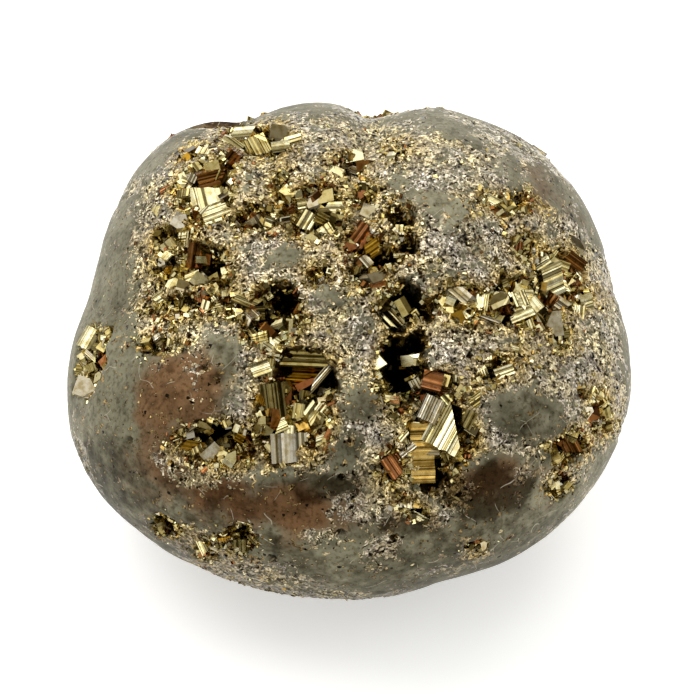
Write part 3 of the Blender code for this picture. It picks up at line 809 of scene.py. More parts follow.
@dataclass(frozen=True)
class WornPyrite:
    """Pyrite skin: satin where tumbling has worn it, glittering where it is broken.

    Pyrite is iron sulphide with a pale brass metallic lustre. Tumbling leaves a dull grey-olive
    satin full of pinholes. A broken surface is made of tiny flat splinters, each of which mirrors
    another part of the room, so it glitters. Sizes are in millimetres.
    """

    name: str = "worn_pyrite"
    satin: Stops = ((0.31, "5A5642"), (0.68, "949078"))
    bronzed: str = "78583A"
    # The colour that multiplies the polish where shade is painted on it.
    painted_shade: str = "847C6E"
    # Shade painted dark inside the pocks and pinholes.
    painted_hole_shade: str = "1A140C"
    glint: str = "CCBE94"
    hairline: str = "A69E8A"
    painted_edge_highlight: str = "FFF8E2"
    dull: str = "8C8477"
    splinters: Stops = (
        (0.0, "140E08"), (0.14, "3E3220"), (0.32, "746B56"), (0.54, "A9A38B"), (0.78, "DAD4B9"),
        (1.0, "FFFAEA"),
    )
    # Painted shade for the broken skin: darker, down to near black, the deeper it lies below the stone's
    # level.
    painted_depth_shade: Stops = ((0.0, "FFFFFF"), (0.12, "F0E4C0"), (0.34, "7E6C40"), (0.55, "32260E"), (1.0, "060402"))
    beside_vug: Stops = ((0.0, "FFFFFF"), (0.62, "F6E6B8"), (0.78, "B89C64"), (1.0, "4E3C20"))
    chips: Stops = ((0.0, "FFFFFF"), (1.0, "BEAC88"))
    # Painted shade darkens the splinters as well.
    painted_shade_on_splinters: Stops = ((0.0, "FFFFFF"), (1.0, "86785E"))
    clouds: Clouds = Clouds(2.6, 2.0, ((0.36, "FFF5DA"), (0.62, "F0ECEE")))
    # Dark slits between the splinters are painted shade.
    painted_slit_shade: Clouds = Clouds(0.36, 1.5, ((0.34, "2A1E10"), (0.47, "FFFFFF")))
    grain: Clouds = Clouds(0.3, 3.0, ((0.34, "C2BCB0"), (0.52, "FFFFFF")))
    worn_tops: Spots = Spots(0.55, 3.0, 0.52, 0.58)
    worn_groups: Spots = Spots(2.2, 1.0, 0.42, 0.56)
    dulled: Spots = Spots(1.4, 3.0, 0.44, 0.60)
    edge_groups: Spots = Spots(0.45, 1.0, 0.47, 0.53)
    scratched: Spots = Spots(1.4, 0.0, 0.54, 0.60)
    dull_colour: float = 0.45
    dull_tilt: float = -0.5
    deepest: float = 3.2
    satin_roughness: float = 0.58
    broken_roughness: float = 0.28
    grain_size: float = 0.70
    splinter_size: float = 0.12
    splinter_bend: float = 0.30
    drawn_out: float = 0.68
    fringe_size: float = 0.30
    chip_size: float = 1.2
    cloud_size: float = 3.2
    painted_shade_ragged_size: float = 1.0
    pinhole_gap: float = 0.75
    pinhole_radius: float = 0.16
    pock_gap: float = 1.9
    pock_radius: float = 0.20
    scratch_gap: float = 4.5
    scratch_bend: float = 3.0
    edge_gap: float = 0.42
    glint_share: float = 0.20

    def make(self) -> bpy.types.Material:
        """Builds the material.

        Returns:
            The material, which reads the skin's polish, depth and vug in millimetres, and its stain
            and its painted shade from 0 to 1.
        """
        material = bpy.data.materials.new(self.name)
        material.use_nodes = True
        tree = material.node_tree
        place = add_node(tree, "TexCoord").outputs["Object"]
        # Pocks up to 0.4 mm wide lie some 2 mm apart, with shade painted dark in the middle, and chipped
        # around.
        pock, rim, _ = self.add_pocks(tree, place, self.pock_gap, self.pock_radius)
        broken = self.add_broken_share(tree, place)
        pock = add_node(tree, "Math", {"operation": "SUBTRACT", "use_clamp": True}, {0: pock, 1: broken})
        broken = add_node(tree, "Math", {"operation": "MAXIMUM"}, {0: broken, 1: rim})
        grain, splinter, local = self.add_splinters(tree, place)
        glitter = self.add_broken_colour(tree, place, splinter, local)
        satin = self.add_satin_colour(tree, place)
        colour = add_node(tree, "Mix", MIXED, {0: broken, 6: satin, 7: glitter})
        colour = add_node(tree, "Mix", MIXED, {0: pock, 6: colour, 7: linear(self.painted_hole_shade)})
        rough = {"Value": broken, "To Min": self.satin_roughness, "To Max": self.broken_roughness}
        dull = add_node(tree, "Math", TIMES, {0: self.dulled.add(tree, place), 1: self.dull_tilt})
        tilting = add_node(tree, "Math", {"operation": "MULTIPLY_ADD"}, {0: dull, 1: broken, 2: broken})
        surface = tree.nodes["Principled BSDF"].inputs
        connect(tree, colour, surface["Base Color"])
        connect(tree, add_node(tree, "MapRange", inputs=rough), surface["Roughness"])
        connect(tree, self.add_tilt(tree, tilting, grain, splinter), surface["Normal"])
        connect(tree, 1.0, surface["Metallic"])
        return material

    def add_broken_share(self, tree: bpy.types.NodeTree, place: Source) -> bpy.types.Node:
        """Tells broken spots from polish.

        Args:
            tree: The node tree.
            place: The places.

        Returns:
            1 on broken spots and 0 on polish, with a ragged border between them.
        """
        total = add_node(tree, "Attribute", {"attribute_name": "polish"}).outputs["Fac"]
        # Specks of about 0.3 mm fray the border, and chips of about 1.2 mm break through the polish.
        for size, detail, reach in ((self.fringe_size, 2.0, 2.6), (self.chip_size, 3.0, 2.4)):
            fray = add_node(
                tree, "TexNoise", inputs={"Vector": place, "Scale": 1.0 / (size * MM), "Detail": detail}
            )
            fray = add_node(
                tree, "Math", {"operation": "MULTIPLY_ADD"}, {0: fray, 1: reach, 2: -reach / 2.0}
            )
            total = add_node(tree, "Math", {"operation": "ADD"}, {0: fray, 1: total})
        broken = add_node(tree, "MapRange", inputs={"Value": total, "From Min": 0.06, "From Max": -0.06})
        # Away from the vugs, the tops of the splinters are worn smooth in spots of half a millimetre.
        vug = add_node(tree, "Attribute", {"attribute_name": "vug"}).outputs["Fac"]
        apart = add_node(tree, "MapRange", inputs={"Value": vug, "From Min": -0.3, "From Max": -0.9})
        top = self.worn_tops.add(tree, place)
        for share in (self.worn_groups.add(tree, place), apart):
            top = add_node(tree, "Math", TIMES, {0: top, 1: share})
        return add_node(tree, "Math", {"operation": "SUBTRACT", "use_clamp": True}, {0: broken, 1: top})

    def add_splinters(
        self, tree: bpy.types.NodeTree, place: Source
    ) -> tuple[bpy.types.Node, bpy.types.Node, bpy.types.Node]:
        """Adds the cells that stand for broken grains, and those for the long splinters in each.

        Args:
            tree: The node tree.
            place: The places.

        Returns:
            The grains, about 0.7 mm wide, the splinters, about 0.12 mm wide, side by side in each, and
            places that are drawn out along the splinters.
        """
        swayed = bend(tree, place, 0.6 * self.grain_size, 0.7 * self.grain_size)
        grain = add_node(
            tree, "TexVoronoi", inputs={"Vector": swayed, "Scale": 1.0 / (self.grain_size * MM)}
        )
        way = add_node(tree, "VectorMath", {"operation": "SUBTRACT"}, {0: grain.outputs["Color"], 1: HALVES})
        way = add_node(tree, "VectorMath", {"operation": "NORMALIZE"}, {0: way})
        bent = bend(tree, place, self.splinter_bend, self.splinter_bend)
        along = add_node(tree, "VectorMath", {"operation": "DOT_PRODUCT"}, {0: bent, 1: way})
        drawn = add_node(tree, "Math", TIMES, {0: along, 1: self.drawn_out})
        drawn = add_node(tree, "VectorMath", {"operation": "SCALE"}, {0: way, "Scale": drawn})
        local = add_node(tree, "VectorMath", {"operation": "SUBTRACT"}, {0: bent, 1: drawn})
        splinter = add_node(
            tree, "TexVoronoi", inputs={"Vector": local, "Scale": 1.0 / (self.splinter_size * MM)}
        )
        return grain, splinter, local

    def add_pocks(
        self, tree: bpy.types.NodeTree, place: Source, gap: float, widest: float
    ) -> tuple[bpy.types.Node, bpy.types.Node, bpy.types.NodeSocket]:
        """Scatters ragged spots, most of them small.

        Args:
            tree: The node tree.
            place: The places.
            gap: How far apart the spots are, in millimetres.
            widest: The radius of the largest, in millimetres.

        Returns:
            1 in each spot, 1 in each spot and its rim, and a chance value for each.
        """
        bent = bend(tree, place, self.fringe_size, 0.9 * self.fringe_size)
        spots = add_node(tree, "TexVoronoi", inputs={"Vector": bent, "Scale": 1.0 / (gap * MM)})
        chance = add_node(tree, "SeparateColor", inputs={"Color": spots.outputs["Color"]})
        reach = add_node(tree, "Math", {"operation": "POWER"}, {0: chance, 1: 3.0})
        reach = add_node(
            tree, "Math", {"operation": "MULTIPLY_ADD"}, {0: reach, 1: widest / gap, 2: 0.012 / gap}
        )
        around = add_node(tree, "Math", TIMES, {0: reach, 1: 2.0})
        inside, rim = (
            add_node(tree, "Math", {"operation": "LESS_THAN"}, {0: spots, 1: width})
            for width in (reach, around)
        )
        return inside, rim, chance.outputs["Green"]

    def add_broken_colour(
        self, tree: bpy.types.NodeTree, place: Source, splinter: bpy.types.Node, local: Source
    ) -> bpy.types.Node:
        """Gives each splinter its own tint, darker and browner in gaps and the deeper it lies.

        Args:
            tree: The node tree.
            place: The places.
            splinter: The splinters' cells.
            local: The places, drawn out along the splinters.

        Returns:
            The colour.
        """
        chance = add_node(tree, "SeparateColor", inputs={"Color": splinter.outputs["Color"]})
        tint = add_node(tree, "ValToRGB", inputs={"Fac": chance}, stops=self.splinters)
        # Painted highlights along the splinters' edges.
        edges = self.add_painted_edge_highlights(tree, place)
        shade = add_node(tree, "Mix", MIXED, {0: edges, 6: tint, 7: linear(self.painted_edge_highlight)})
        dull = add_node(tree, "Math", TIMES, {0: self.dulled.add(tree, place), 1: self.dull_colour})
        shade = add_node(tree, "Mix", MIXED, {0: dull, 6: shade, 7: linear(self.dull)})
        # Painted shade that deepens with the gaps' depth, nearness to a vug (golden beside it, dark brown
        # inside it), nearness to the polish, and patches of painted shade each tint it.
        for name, low, high, stops in (
            ("depth", 0.1, self.deepest, self.painted_depth_shade), ("vug", -1.1, 0.5, self.beside_vug),
            ("polish", -0.2, 0.5, self.chips), ("painted_shade_share", 0.0, 1.0, self.painted_shade_on_splinters),
        ):
            value = add_node(tree, "Attribute", {"attribute_name": name}).outputs["Fac"]
            value = add_node(tree, "MapRange", inputs={"Value": value, "From Min": low, "From Max": high})
            shade = lay_colours(tree, shade, value, stops)
        # Clouds of 2.6 mm are greyer or more golden, and slits of painted shade between splinters are 0.36 mm
        # apart.
        shade = self.clouds.lay(tree, shade, place)
        return self.painted_slit_shade.lay(tree, shade, local)

    def add_painted_edge_highlights(self, tree: bpy.types.NodeTree, place: Source) -> bpy.types.Node:
        """Draws painted highlights along bent splinter edges about 0.04 mm wide.

        Args:
            tree: The node tree.
            place: The places.

        Returns:
            1 along the edges, and 0 between them.
        """
        bent = bend(tree, place, 2.0 * self.edge_gap, 2.4 * self.edge_gap)
        cells = {"Vector": bent, "Scale": 1.0 / (self.edge_gap * MM)}
        edge = add_node(tree, "TexVoronoi", {"feature": "DISTANCE_TO_EDGE"}, cells)
        line = add_node(tree, "MapRange", inputs={"Value": edge, "From Min": 0.10, "From Max": 0.05})
        return add_node(tree, "Math", TIMES, {0: line, 1: self.edge_groups.add(tree, place)})

    def add_satin_colour(self, tree: bpy.types.NodeTree, place: Source) -> bpy.types.Node:
        """Clouds the polish, bronzes it where it is stained, darkens it with patches of painted shade, and
        pricks and scratches it.

        Args:
            tree: The node tree.
            place: The places.

        Returns:
            The colour.
        """
        cloud = {"Vector": place, "Scale": 1.0 / (self.cloud_size * MM), "Detail": 8.0, "Roughness": 0.72}
        cloud = add_node(tree, "TexNoise", inputs=cloud)
        shade = add_node(tree, "ValToRGB", inputs={"Fac": cloud}, stops=self.satin)
        stain = add_node(tree, "Attribute", {"attribute_name": "stain"}).outputs["Fac"]
        shade = add_node(tree, "Mix", MIXED, {0: stain, 6: shade, 7: linear(self.bronzed)})
        # Patches of painted shade with ragged edges darken the polish.
        painted_shade_share = add_node(tree, "Attribute", {"attribute_name": "painted_shade_share"}).outputs["Fac"]
        ragged = {"Vector": place, "Scale": 1.0 / (self.painted_shade_ragged_size * MM), "Detail": 5.0}
        ragged = add_node(tree, "TexNoise", inputs=ragged)
        ragged = add_node(tree, "Math", {"operation": "MULTIPLY_ADD"}, {0: ragged, 1: 1.8, 2: painted_shade_share})
        painted_shade_share = add_node(tree, "MapRange", inputs={"Value": ragged, "From Min": 0.95, "From Max": 1.75})
        shade = add_node(tree, "Mix", MULTIPLIED, {0: painted_shade_share, 6: shade, 7: linear(self.painted_shade)})
        # The satin is grainy at 0.3 mm.
        shade = self.grain.lay(tree, shade, place)
        # Hairline scratches are 0.03 mm wide.
        bent = bend(tree, place, self.scratch_bend, self.scratch_bend)
        cells = {"Vector": bent, "Scale": 1.0 / (self.scratch_gap * MM)}
        line = add_node(tree, "TexVoronoi", {"feature": "DISTANCE_TO_EDGE"}, cells)
        line = add_node(tree, "MapRange", inputs={"Value": line, "From Min": 0.006, "From Max": 0.002})
        line = add_node(tree, "Math", TIMES, {0: line, 1: self.scratched.add(tree, place)})
        shade = add_node(tree, "Mix", MIXED, {0: line, 6: shade, 7: linear(self.hairline)})
        # Pinholes with shade painted dark inside them, and painted glints, of 0.03 to 0.3 mm are some three
        # quarters of a millimetre apart.
        pinhole, _, chance = self.add_pocks(tree, place, self.pinhole_gap, self.pinhole_radius)
        glints = add_node(tree, "Math", {"operation": "GREATER_THAN"}, {0: chance, 1: 1.0 - self.glint_share})
        spot = add_node(tree, "Mix", MIXED, {0: glints, 6: linear(self.painted_hole_shade), 7: linear(self.glint)})
        return add_node(tree, "Mix", MIXED, {0: pinhole, 6: shade, 7: spot})

    def add_tilt(
        self, tree: bpy.types.NodeTree, broken: Source, grain: bpy.types.Node, splinter: bpy.types.Node
    ) -> bpy.types.Node:
        """Tilts each grain its own way, and each splinter in it a little more.

        Args:
            tree: The node tree.
            broken: 1 where the skin is broken.
            grain: The grains' cells.
            splinter: The splinters' cells.

        Returns:
            The tilted surface direction.
        """
        tilted = add_node(tree, "NewGeometry").outputs["Normal"]
        for cells, least, most in ((grain, 0.02, 0.55), (splinter, 0.08, 1.05)):
            away = add_node(
                tree, "VectorMath", {"operation": "SUBTRACT"}, {0: cells.outputs["Color"], 1: HALVES}
            )
            sway = add_node(tree, "MapRange", inputs={"Value": broken, "To Min": least, "To Max": most})
            away = add_node(tree, "VectorMath", {"operation": "SCALE"}, {0: away, "Scale": sway})
            tilted = add_node(tree, "VectorMath", {"operation": "ADD"}, {0: tilted, 1: away})
        return add_node(tree, "VectorMath", {"operation": "NORMALIZE"}, {0: tilted})


@dataclass(frozen=True)
class CrystalPyrite:
    """Fresh pyrite crystal faces: pale brass, mirror-like, ruled with straight growth lines.

    Each growth line is a narrow strip that leans a little its own way, so strips mirror different
    parts of the room and look bright or dark, and each strip's colour is painted lighter or darker
    too, as a painted reflection, with painted shade in the hairlines between. Sizes are in millimetres.
    """

    name: str = "crystal_pyrite"
    roughness: float = 0.22
    line_pitch: float = 0.19
    line_relief: float = 0.060
    painted_line_reflections: Stops = (
        (0.0, "463A1E"), (0.11, "6E6238"), (0.18, "CCC29E"), (0.32, "FAF4E0"), (0.60, "FFFFFF"),
        (0.86, "ECE2BE"), (1.0, "FFFFFF"),
    )
    mottles: Clouds = Clouds(0.5, 4.0, ((0.34, "D6CCB0"), (0.54, "FFFFFF")))
    hairs_a_line: float = 2.3
    painted_hairline_shade: Stops = ((0.0, "4A4024"), (0.12, "7A7048"), (0.18, "FFFFFF"))
    ruled_share: float = 0.9

    def make(self) -> bpy.types.Material:
        """Builds the material.

        Returns:
            The material, which reads each crystal's tint and a UV map in millimetres.
        """
        material = bpy.data.materials.new(self.name)
        material.use_nodes = True
        tree = material.node_tree
        shade = add_node(tree, "Attribute", {"attribute_name": "tint"})
        lines = add_node(tree, "SeparateXYZ", inputs={0: add_node(tree, "UVMap", {"uv_map": "growth_lines"})})
        across = add_node(
            tree, "Math", {"operation": "DIVIDE"}, {0: lines.outputs["Y"], 1: self.line_pitch}
        )
        # Growth lines are some 0.2 mm apart on crystals of this size, and run straight, each painted lighter
        # or darker as a painted reflection. Between them run hairlines of painted shade, less than 0.1 mm
        # wide.
        strips, hairs = (
            add_node(tree, "TexVoronoi", {"voronoi_dimensions": "1D"}, {"W": across, "Scale": scale})
            for scale in (1.0, self.hairs_a_line)
        )
        chance = add_node(tree, "SeparateColor", inputs={"Color": strips.outputs["Color"]})
        hairs = add_node(tree, "SeparateColor", inputs={"Color": hairs.outputs["Color"]})
        shade = lay_colours(tree, shade, chance, self.painted_line_reflections, self.ruled_share)
        shade = lay_colours(tree, shade, hairs.outputs["Blue"], self.painted_hairline_shade, self.ruled_share)
        # Faces are a little mottled at half a millimetre.
        shade = self.mottles.lay(tree, shade, add_node(tree, "TexCoord").outputs["Object"])
        from_middle = add_node(
            tree, "Math", {"operation": "SUBTRACT"}, {0: across, 1: strips.outputs["W"]}
        )
        lean = add_node(tree, "Math", {"operation": "SUBTRACT"}, {0: chance.outputs["Green"], 1: 0.5})
        height = add_node(tree, "Math", TIMES, {0: from_middle, 1: lean})
        bump = {"Height": height, "Distance": 2.0 * self.line_relief * MM}
        surface = tree.nodes["Principled BSDF"].inputs
        connect(tree, shade, surface["Base Color"])
        connect(tree, add_node(tree, "Bump", inputs=bump), surface["Normal"])
        connect(tree, 1.0, surface["Metallic"])
        connect(tree, self.roughness, surface["Roughness"])
        return material


@dataclass
class NoduleSkin:
    """The stone's outer surface with its polish, its broken areas and its pits."""

    relief: SkinRelief
    finish: WornPyrite
    sphere_steps: int = 7
    polish_limit: float = 1.4
    stained: tuple = (
        (Patch(-11.8, -3.2, 3.6, 3.4), 0.9), (Patch(-4.0, -11.2, 5.8, 2.0, -5), 0.95),
        (Patch(-12.8, -7.8, 3.0, 2.6, -35), 0.8), (Patch(10.2, -9.0, 3.2, 1.6), 0.8),
        (Patch(14.0, 11.3, 2.0, 1.0, -50), 0.5), (Patch(-9.2, -9.8, 3.6, 1.8, -10), 1.0),
    )
    # Patches of painted shade on the polish, each with its strength: darker towards the bottom and where the
    # polish faces away from the light.
    painted_shade: tuple = (
        (Patch(9.4, -10.0, 3.8, 2.2, 8), 1.0), (Patch(-9.2, -0.9, 1.4, 2.0), 0.55),
        (Patch(-1.4, -9.6, 3.2, 1.3), 0.85), (Patch(4.6, -12.4, 3.4, 1.2), 0.75),
        (Patch(-11.8, -3.0, 3.0, 2.2), 0.15), (Patch(0.8, -3.8, 1.3, 1.3), 0.40),
        (Patch(13.4, -6.2, 2.6, 1.6), 0.5), (Patch(12.3, -4.4, 2.6, 1.6), 0.45),
        (Patch(-9.0, -10.6, 5.0, 1.8, -12), 0.45), (Patch(-7.5, -14.8, 9.5, 2.8, -20), 0.50),
        (Patch(6.5, -14.8, 10.0, 2.8, 17), 0.42), (Patch(-16.2, -9.8, 5.0, 2.8, -48), 0.58),
    )

    def grow(self) -> bpy.types.Object:
        """Shapes the skin out of a sphere that is finer where the stone is broken and is seen.

        Returns:
            The skin.
        """
        start_fresh()
        bpy.ops.mesh.primitive_ico_sphere_add(subdivisions=self.sphere_steps, radius=1.0)
        skin = bpy.context.object
        skin.name = "nodule_skin"
        self.refine(skin)
        directions = unit(points_of(skin.data))
        surface = self.relief.read(directions)
        places = directions * surface.radius[:, None] * MM + self.relief.form.middle
        skin.data.vertices.foreach_set("co", places.ravel())
        limit = self.polish_limit
        points = directions * surface.level[:, None]
        for name, values in (
            ("polish", np.clip(surface.polish, -limit, limit)),
            ("depth", np.maximum(surface.level - surface.radius, 0.0)),
            ("vug", np.clip(surface.inside_vug, -limit, limit)),
            ("hollow", surface.hollow),
            ("stain", self.stain_and_shade_share(self.stained, points, 2.2, 51.0)),
            # Patches of painted shade, mostly towards the bottom of the stone.
            ("painted_shade_share", self.stain_and_shade_share(self.painted_shade, points, 1.3, 57.0)),
        ):
            set_point_value(skin.data, name, values)
        smooth = surface.polish[corners_of(skin.data)].mean(axis=1) > -0.05
        skin.data.polygons.foreach_set("use_smooth", smooth)
        self.rest_flat(skin)
        return skin

    def refine(self, skin: bpy.types.Object) -> None:
        """Splits the sphere's faces where the stone is broken and faces the camera.

        Args:
            skin: The sphere.
        """
        directions = unit(points_of(skin.data))
        points = directions * self.relief.form.pebble_radius(directions)[:, None]
        rough = 1.0 - smoothstep(0.0, 0.5, self.relief.polish_depth(directions, points))
        near = smoothstep(-2.0, 2.0, points @ self.relief.form.towards)
        select_faces(skin.data, (rough * near)[corners_of(skin.data)].mean(axis=1) > 0.15)
        bpy.ops.mesh.subdivide(number_cuts=1)
        bpy.ops.mesh.select_all(action="SELECT")
        bpy.ops.mesh.quads_convert_to_tris()
        bpy.ops.object.mode_set(mode="OBJECT")

    def stain_and_shade_share(
        self, patches: Sequence[tuple[Patch, float]], points: Array, size: float, shift: float
    ) -> Array:
        """How strong a patchy layer, the bronze stain and the painted shade alike, is at points of the stone.

        Args:
            patches: Where it lies on the side that faces the camera, and how strong it is there.
            points: The points.
            size: The size of its swirls in millimetres.
            shift: Moves the swirls.

        Returns:
            Its share, from 0 to 1.
        """
        x, y, facing = self.relief.seen_places(points)
        near = np.zeros(len(points))
        swirls = ((0.6 * size, size, shift), (0.3 * size, 0.35 * size, shift + 5.0))
        wander = layered(points, swirls)
        for patch, strength in patches:
            inside = self.relief.depth_inside((patch,), x, y) + wander
            near = np.maximum(near, strength * smoothstep(-0.25 * size, 0.6 * size, inside))
        far = smoothstep(0.0, 0.5, swirl(points, 6.0, shift + 10.0))
        return near * facing + far * (1.0 - facing)

    @staticmethod
    def rest_flat(skin: bpy.types.Object) -> None:
        """Cuts the skin flat where the stone rests, and closes the cut.

        Args:
            skin: The skin.
        """
        bpy.context.view_layer.objects.active = skin
        bpy.ops.object.mode_set(mode="EDIT")
        bpy.ops.mesh.select_all(action="SELECT")
        bpy.ops.mesh.bisect(
            plane_co=(0.0, 0.0, 0.0), plane_no=(0.0, 0.0, 1.0), clear_inner=True, use_fill=True,
            threshold=1e-7,
        )
        bpy.ops.mesh.select_all(action="SELECT")
        bpy.ops.mesh.quads_convert_to_tris()
        bpy.ops.object.mode_set(mode="OBJECT")

    def build(self) -> bpy.types.Object:
        """Builds and dresses the skin, and puts it in the frame.

        Returns:
            The skin.
        """
        skin = self.grow()
        skin.data.materials.append(self.finish.make())
        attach(skin, BODY)
        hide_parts(NODE)
        LOG.info("%s: %d faces", skin.name, len(skin.data.polygons))
        return skin


@dataclass
class Shape:
    """A crystal shape of size 1: its points, faces, growth lines' map and the map's two axes."""

    points: Array
    faces: list
    lines: Array
    axes: Array


@dataclass
class ShapeMaker:
    """Models the few crystal shapes that every crystal is a copy of."""

    seed: int = 5
    corner_cut: float = 0.60
    pyritohedron_cut: float = 0.46

    def finish(self, solid: bpy.types.Object) -> Shape:
        """Reads a modelled crystal and removes its object.

        Args:
            solid: The crystal, which is centred on the origin.

        Returns:
            Its shape, with growth lines that run across each face.
        """
        bpy.ops.object.mode_set(mode="OBJECT")
        mesh = solid.data
        points = points_of(mesh)
        faces, lines, axes = [], [], []
        for face in mesh.polygons:
            faces.append(tuple(face.vertices))
            axis = max(range(3), key=lambda i: abs(face.normal[i]))
            pair = ((axis + 1) % 3, (axis + 2) % 3)
            for index in face.vertices:
                lines.append((points[index][pair[0]], points[index][pair[1]]))
                axes.append(pair)
        bpy.data.objects.remove(solid)
        return Shape(points, faces, np.array(lines), np.array(axes))

    @staticmethod
    def start_block(scale: tuple[float, float, float]) -> bpy.types.Object:
        """Adds a block and opens it in edit mode with all of it selected.

        Args:
            scale: The block's sides.

        Returns:
            The block.
        """
        start_fresh()
        bpy.ops.mesh.primitive_cube_add(size=1.0)
        block = bpy.context.object
        bpy.ops.object.mode_set(mode="EDIT")
        bpy.ops.mesh.select_all(action="SELECT")
        bpy.ops.transform.resize(value=scale)
        return block

    @staticmethod
    def cut(place: Sequence[float], way: Sequence[float]) -> None:
        """Cuts off what lies beyond a plane and closes the cut."""
        bpy.ops.mesh.select_all(action="SELECT")
        bpy.ops.mesh.bisect(plane_co=place, plane_no=way, clear_outer=True, use_fill=True)

    def block(
        self,
        scale: tuple[float, float, float],
        corners: Sequence[tuple] = (),
        count: int = 0,
        skew: float = 0.0,
    ) -> Shape:
        """A block with some of its corners cut off, as an octahedron's faces cut a cube.

        Args:
            scale: The block's sides.
            corners: The signs of the corners that are cut.
            count: How many raised growth lines its faces are ruled with.
            skew: How far the ends of a ruled block slant.

        Returns:
            The shape.
        """
        block = self.start_ruled(count, scale, skew) if count else self.start_block(scale)
        for signs in corners:
            way = Vector(signs).normalized()
            self.cut(way * self.corner_cut * sum(scale) / 3.0, way)
        return self.finish(block)

    def pyritohedron(self) -> Shape:
        """A twelve-sided crystal with five-sided faces, which pyrite is known for.

        Returns:
            The shape.
        """
        block = self.start_block((1.0, 1.0, 1.0))
        for a in (-1, 1):
            for b in (-1, 1):
                for way in ((0, a, 2 * b), (2 * b, 0, a), (a, 2 * b, 0)):
                    way = Vector(way).normalized()
                    self.cut(way * self.pyritohedron_cut, way)
        return self.finish(block)

    def stepped(self) -> Shape:
        """A block whose top grew in two terraces.

        Returns:
            The shape.
        """
        block = self.start_block((1.0, 1.0, 0.6))
        bpy.ops.mesh.select_all(action="DESELECT")
        for step in (0.16, 0.14):
            self.select_top(block)
            bpy.ops.mesh.inset(thickness=step, depth=0.0)
            bpy.ops.transform.translate(value=(step * 0.4, -step * 0.4, step * 0.8))
        return self.finish(block)

    @staticmethod
    def select_top(block: bpy.types.Object) -> None:
        """Selects the highest face only.

        Args:
            block: The crystal, which is in edit mode.
        """
        bpy.ops.object.mode_set(mode="OBJECT")
        faces = block.data.polygons
        top = max(faces, key=lambda face: (round(face.center.z, 5), face.normal.z))
        select_faces(block.data, np.arange(len(faces)) == top.index)

    def pointed(self, count: int) -> Shape:
        """A ruled block that is cut aslant, so that one end comes to a point.

        Args:
            count: How many lines it has.

        Returns:
            The shape.
        """
        block = self.start_ruled(count, (1.0, 1.0, 1.0), 0.0)
        self.cut((-0.30, -0.5, 0.0), (0.765, -0.645, 0.0))
        return self.finish(block)

    def start_ruled(self, count: int, scale: tuple[float, float, float], skew: float) -> bpy.types.Object:
        """Adds a ruled block and opens it in edit mode.

        Args:
            count: How many lines it has.
            scale: The block's sides.
            skew: How far its ends slant.

        Returns:
            The block.
        """
        draw = np.random.default_rng(self.seed + count)
        block = self.start_block(scale)
        steps = np.cumsum(draw.uniform(0.4, 1.6, count + 1))
        for place in (steps[:-1] / steps[-1] - 0.5) * scale[1]:
            bpy.ops.mesh.select_all(action="SELECT")
            bpy.ops.mesh.bisect(plane_co=(0.0, place, 0.0), plane_no=(0.0, 1.0, 0.0), threshold=1e-5)
        bpy.ops.object.mode_set(mode="OBJECT")
        points = points_of(block.data)
        rows = np.round(points[:, 1], 4)
        for row in np.unique(rows)[1:-1]:
            there = rows == row
            shift = draw.uniform(-0.028, 0.012, 2)
            points[there, 2] += np.sign(points[there, 2]) * shift[0]
            points[there, 0] += np.sign(points[there, 0]) * shift[1]
        points[:, 0] += skew * points[:, 1]
        block.data.vertices.foreach_set("co", points.ravel())
        bpy.ops.object.mode_set(mode="EDIT")
        return block


@dataclass
class Copies:
    """Copies of crystal shapes, gathered into one mesh."""

    name: str
    points: list = field(default_factory=list)
    faces: list = field(default_factory=list)
    lines: list = field(default_factory=list)
    tints: list = field(default_factory=list)
    count: int = 0

    def add(
        self,
        shape: Shape,
        turns: Array,
        places: Array,
        sizes: Array,
        tints: Array,
        ruling: Array,
        shift: Array,
    ) -> None:
        """Adds a copy of a shape for each turn and place.

        Args:
            shape: The shape to copy.
            turns: A turn matrix for each copy.
            places: The copies' places in millimetres from the stone's middle.
            sizes: Three sides for each copy, in millimetres.
            tints: A linear colour for each copy.
            ruling: How closely each copy is ruled with growth lines, from 0 for a plain one to 1.
            shift: A number for each copy that moves its growth lines.
        """
        scaled = shape.points[None] * sizes[:, None, :]
        moved = np.einsum("nij,nvj->nvi", turns, scaled) + places[:, None, :]
        self.points.append(moved.reshape(-1, 3))
        corners = sum(len(face) for face in shape.faces)
        for i in range(len(places)):
            start = self.count + i * len(shape.points)
            self.faces += [tuple(start + v for v in face) for face in shape.faces]
        self.count += len(places) * len(shape.points)
        lines = shape.lines[None] * sizes[:, shape.axes] * ruling[:, None, None] + shift[:, None, None]
        self.lines.append(lines.reshape(-1, 2))
        self.tints.append(np.repeat(tints, corners, axis=0))

    def build(self, middle: Array, finish: bpy.types.Material) -> bpy.types.Object:
        """Writes the mesh, dresses it and puts it in the frame.

        Args:
            middle: The stone's middle in metres.
            finish: The crystals' material.

        Returns:
            The piece.
        """
        mesh = bpy.data.meshes.new(self.name)
        mesh.from_pydata((np.concatenate(self.points) * MM + middle).tolist(), [], self.faces)
        layer = mesh.uv_layers.new(name="growth_lines")
        layer.data.foreach_set("uv", np.concatenate(self.lines).astype(np.float32).ravel())
        tints = mesh.attributes.new("tint", "FLOAT_COLOR", "CORNER")
        tints.data.foreach_set("color", np.concatenate(self.tints).astype(np.float32).ravel())
        mesh.materials.append(finish)
        piece = bpy.data.objects.new(self.name, mesh)
        bpy.context.scene.collection.objects.link(piece)
        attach(piece, BODY)
        LOG.info("%s: %d faces", self.name, len(mesh.polygons))
        return piece


